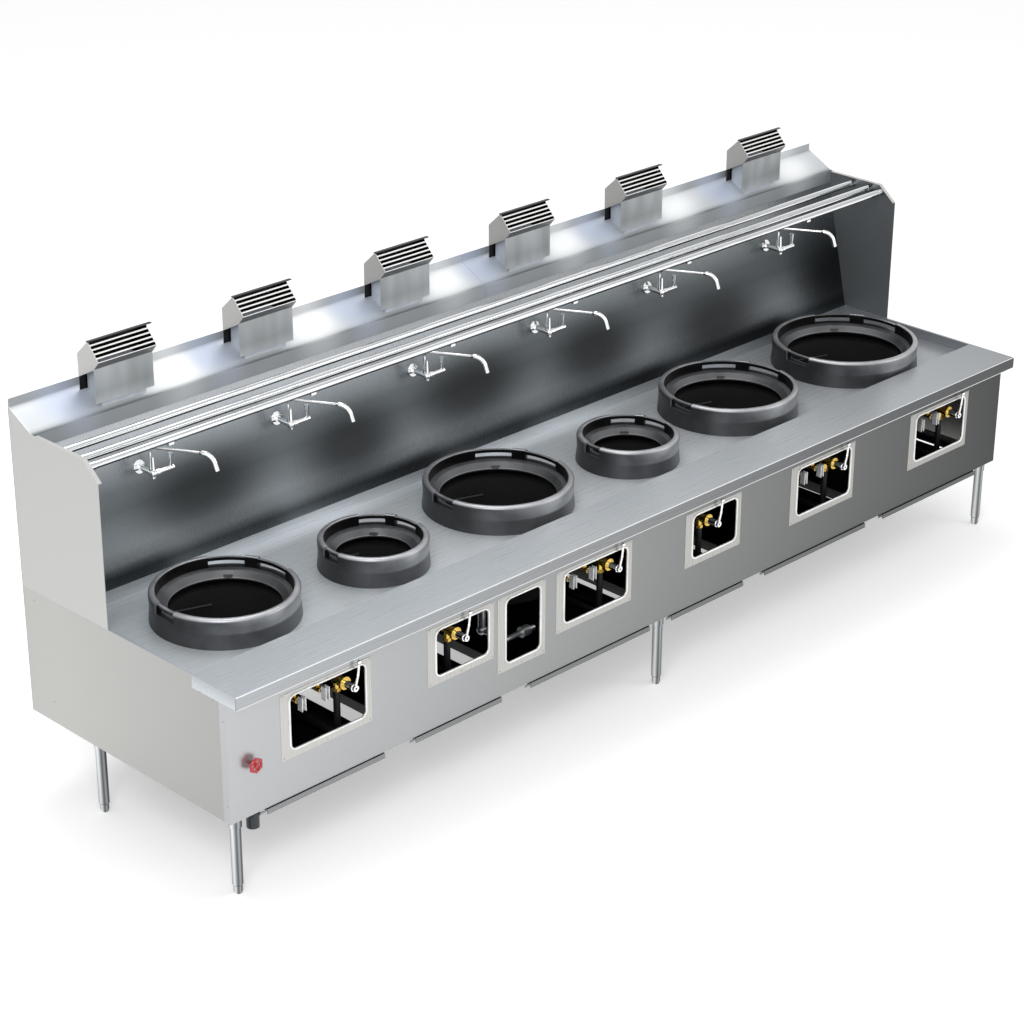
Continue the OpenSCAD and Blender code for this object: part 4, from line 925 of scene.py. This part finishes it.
class RANGE_OT_stage(bpy.types.Operator):
    """Sets up the camera, the floor, the backdrop and the lamps"""
    bl_idname = "range.stage"
    bl_label = "Studio"

    def execute(self, context):
        scene = context.scene
        forward = Vector((sin(CAMERA_TURN) * cos(CAMERA_DOWN), cos(CAMERA_TURN) * cos(CAMERA_DOWN),
                          -sin(CAMERA_DOWN)))
        right = forward.cross(Vector((0, 0, 1))).normalized()
        up = right.cross(forward)
        rolled = cos(CAMERA_ROLL) * right + sin(CAMERA_ROLL) * up
        up = rolled.cross(forward)
        data = bpy.data.cameras.new("photo camera")
        data.lens, data.sensor_width = CAMERA_LENS, 36
        data.clip_start, data.clip_end = 0.1, 200
        camera = bpy.data.objects.new("photo_camera", data)
        scene.collection.objects.link(camera)
        turn = Matrix((rolled, up, -forward)).transposed().to_4x4()
        camera.matrix_world = Matrix.Translation(Vector(metres(CAMERA_PLACE))) @ turn
        scene.camera = camera

        floor = Finish("pale floor", 0.0, 0.7)
        floor.colour(tuple(settings().floor_colour))
        path = floor.add("ShaderNodeLightPath")
        seen = floor.math("MAXIMUM", path.outputs["Is Camera Ray"], path.outputs["Is Glossy Ray"])
        glow = floor.add("ShaderNodeEmission", Color=(1, 1, 1, 1))
        floor.join(floor.math("MULTIPLY", seen, FLOOR_GLOW), glow.inputs["Strength"])
        both = floor.add("ShaderNodeAddShader")
        floor.join(floor.shader.outputs["BSDF"], both.inputs[0])
        floor.join(glow.outputs["Emission"], both.inputs[1])
        output = next(n for n in floor.tree.nodes if n.bl_idname == "ShaderNodeOutputMaterial")
        floor.join(both.outputs[0], output.inputs["Surface"])
        span = np.linspace(-FLOOR_HALF, FLOOR_HALF, FLOOR_POINTS)
        x, y = np.meshgrid(span, span)
        mesh = bpy.data.meshes.new("floor")
        mesh.from_pydata(np.stack([x, y, 0 * x], -1).reshape(-1, 3).tolist(), [],
                         grid_faces(FLOOR_POINTS, FLOOR_POINTS).tolist())
        mesh.materials.append(floor.material)
        ground = bpy.data.objects.new("floor", mesh)
        scene.collection.objects.link(ground)

        world = bpy.data.worlds.new("studio")
        scene.world = world
        world.use_nodes = True
        nodes, links = world.node_tree.nodes, world.node_tree.links
        nodes.clear()
        path = nodes.new("ShaderNodeLightPath")
        seen = nodes.new("ShaderNodeMath")
        seen.operation = "MAXIMUM"
        links.new(path.outputs["Is Camera Ray"], seen.inputs[0])
        links.new(path.outputs["Is Glossy Ray"], seen.inputs[1])
        more = nodes.new("ShaderNodeMath")
        more.operation = "MAXIMUM"
        links.new(seen.outputs[0], more.inputs[0])
        links.new(path.outputs["Is Transmission Ray"], more.inputs[1])
        level = nodes.new("ShaderNodeMapRange")
        level.inputs["To Min"].default_value = SKY_ON_SURFACES
        level.inputs["To Max"].default_value = 1.0
        links.new(more.outputs[0], level.inputs["Value"])
        sky = nodes.new("ShaderNodeBackground")
        sky.inputs["Color"].default_value = (1, 1, 1, 1)
        links.new(level.outputs["Result"], sky.inputs["Strength"])
        links.new(sky.outputs[0], nodes.new("ShaderNodeOutputWorld").inputs["Surface"])

        for name, place, size, power in LAMPS:
            data = bpy.data.lights.new(name, "AREA")
            data.shape, data.size, data.energy = "SQUARE", size, power * settings().lamp_level
            lamp = bpy.data.objects.new(f"{name}_lamp", data)
            scene.collection.objects.link(lamp)
            lamp.location = place
            lamp.rotation_euler = (LAMP_AIM - Vector(place)).to_track_quat("-Z", "Y").to_euler()
        scene.view_settings.view_transform = "Standard"
        return {"FINISHED"}


OPERATORS = (RANGE_OT_finishes, RANGE_OT_window_plates, RANGE_OT_screws, RANGE_OT_rings,
             RANGE_OT_hoods, RANGE_OT_stage)


class RANGE_PT_panel(bpy.types.Panel):
    bl_idname = "RANGE_PT_panel"
    bl_label = "Wok range"
    bl_space_type = "VIEW_3D"
    bl_region_type = "UI"
    bl_category = "Wok range"

    def draw(self, context):
        for name in WokRangeSettings.__annotations__:
            self.layout.prop(context.scene.wok_range, name)
        for operator in OPERATORS:
            self.layout.operator(operator.bl_idname)


CLASSES = (WokRangeSettings, *OPERATORS, RANGE_PT_panel)


def register():
    for cls in CLASSES:
        bpy.utils.register_class(cls)
    bpy.types.Scene.wok_range = PointerProperty(type=WokRangeSettings)


def unregister():
    del bpy.types.Scene.wok_range
    for cls in reversed(CLASSES):
        bpy.utils.unregister_class(cls)


def main():
    register()
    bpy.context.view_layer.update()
    for operator in OPERATORS:
        group, name = operator.bl_idname.split(".")
        getattr(getattr(bpy.ops, group), name)()


if __name__ == "__main__":
    main()
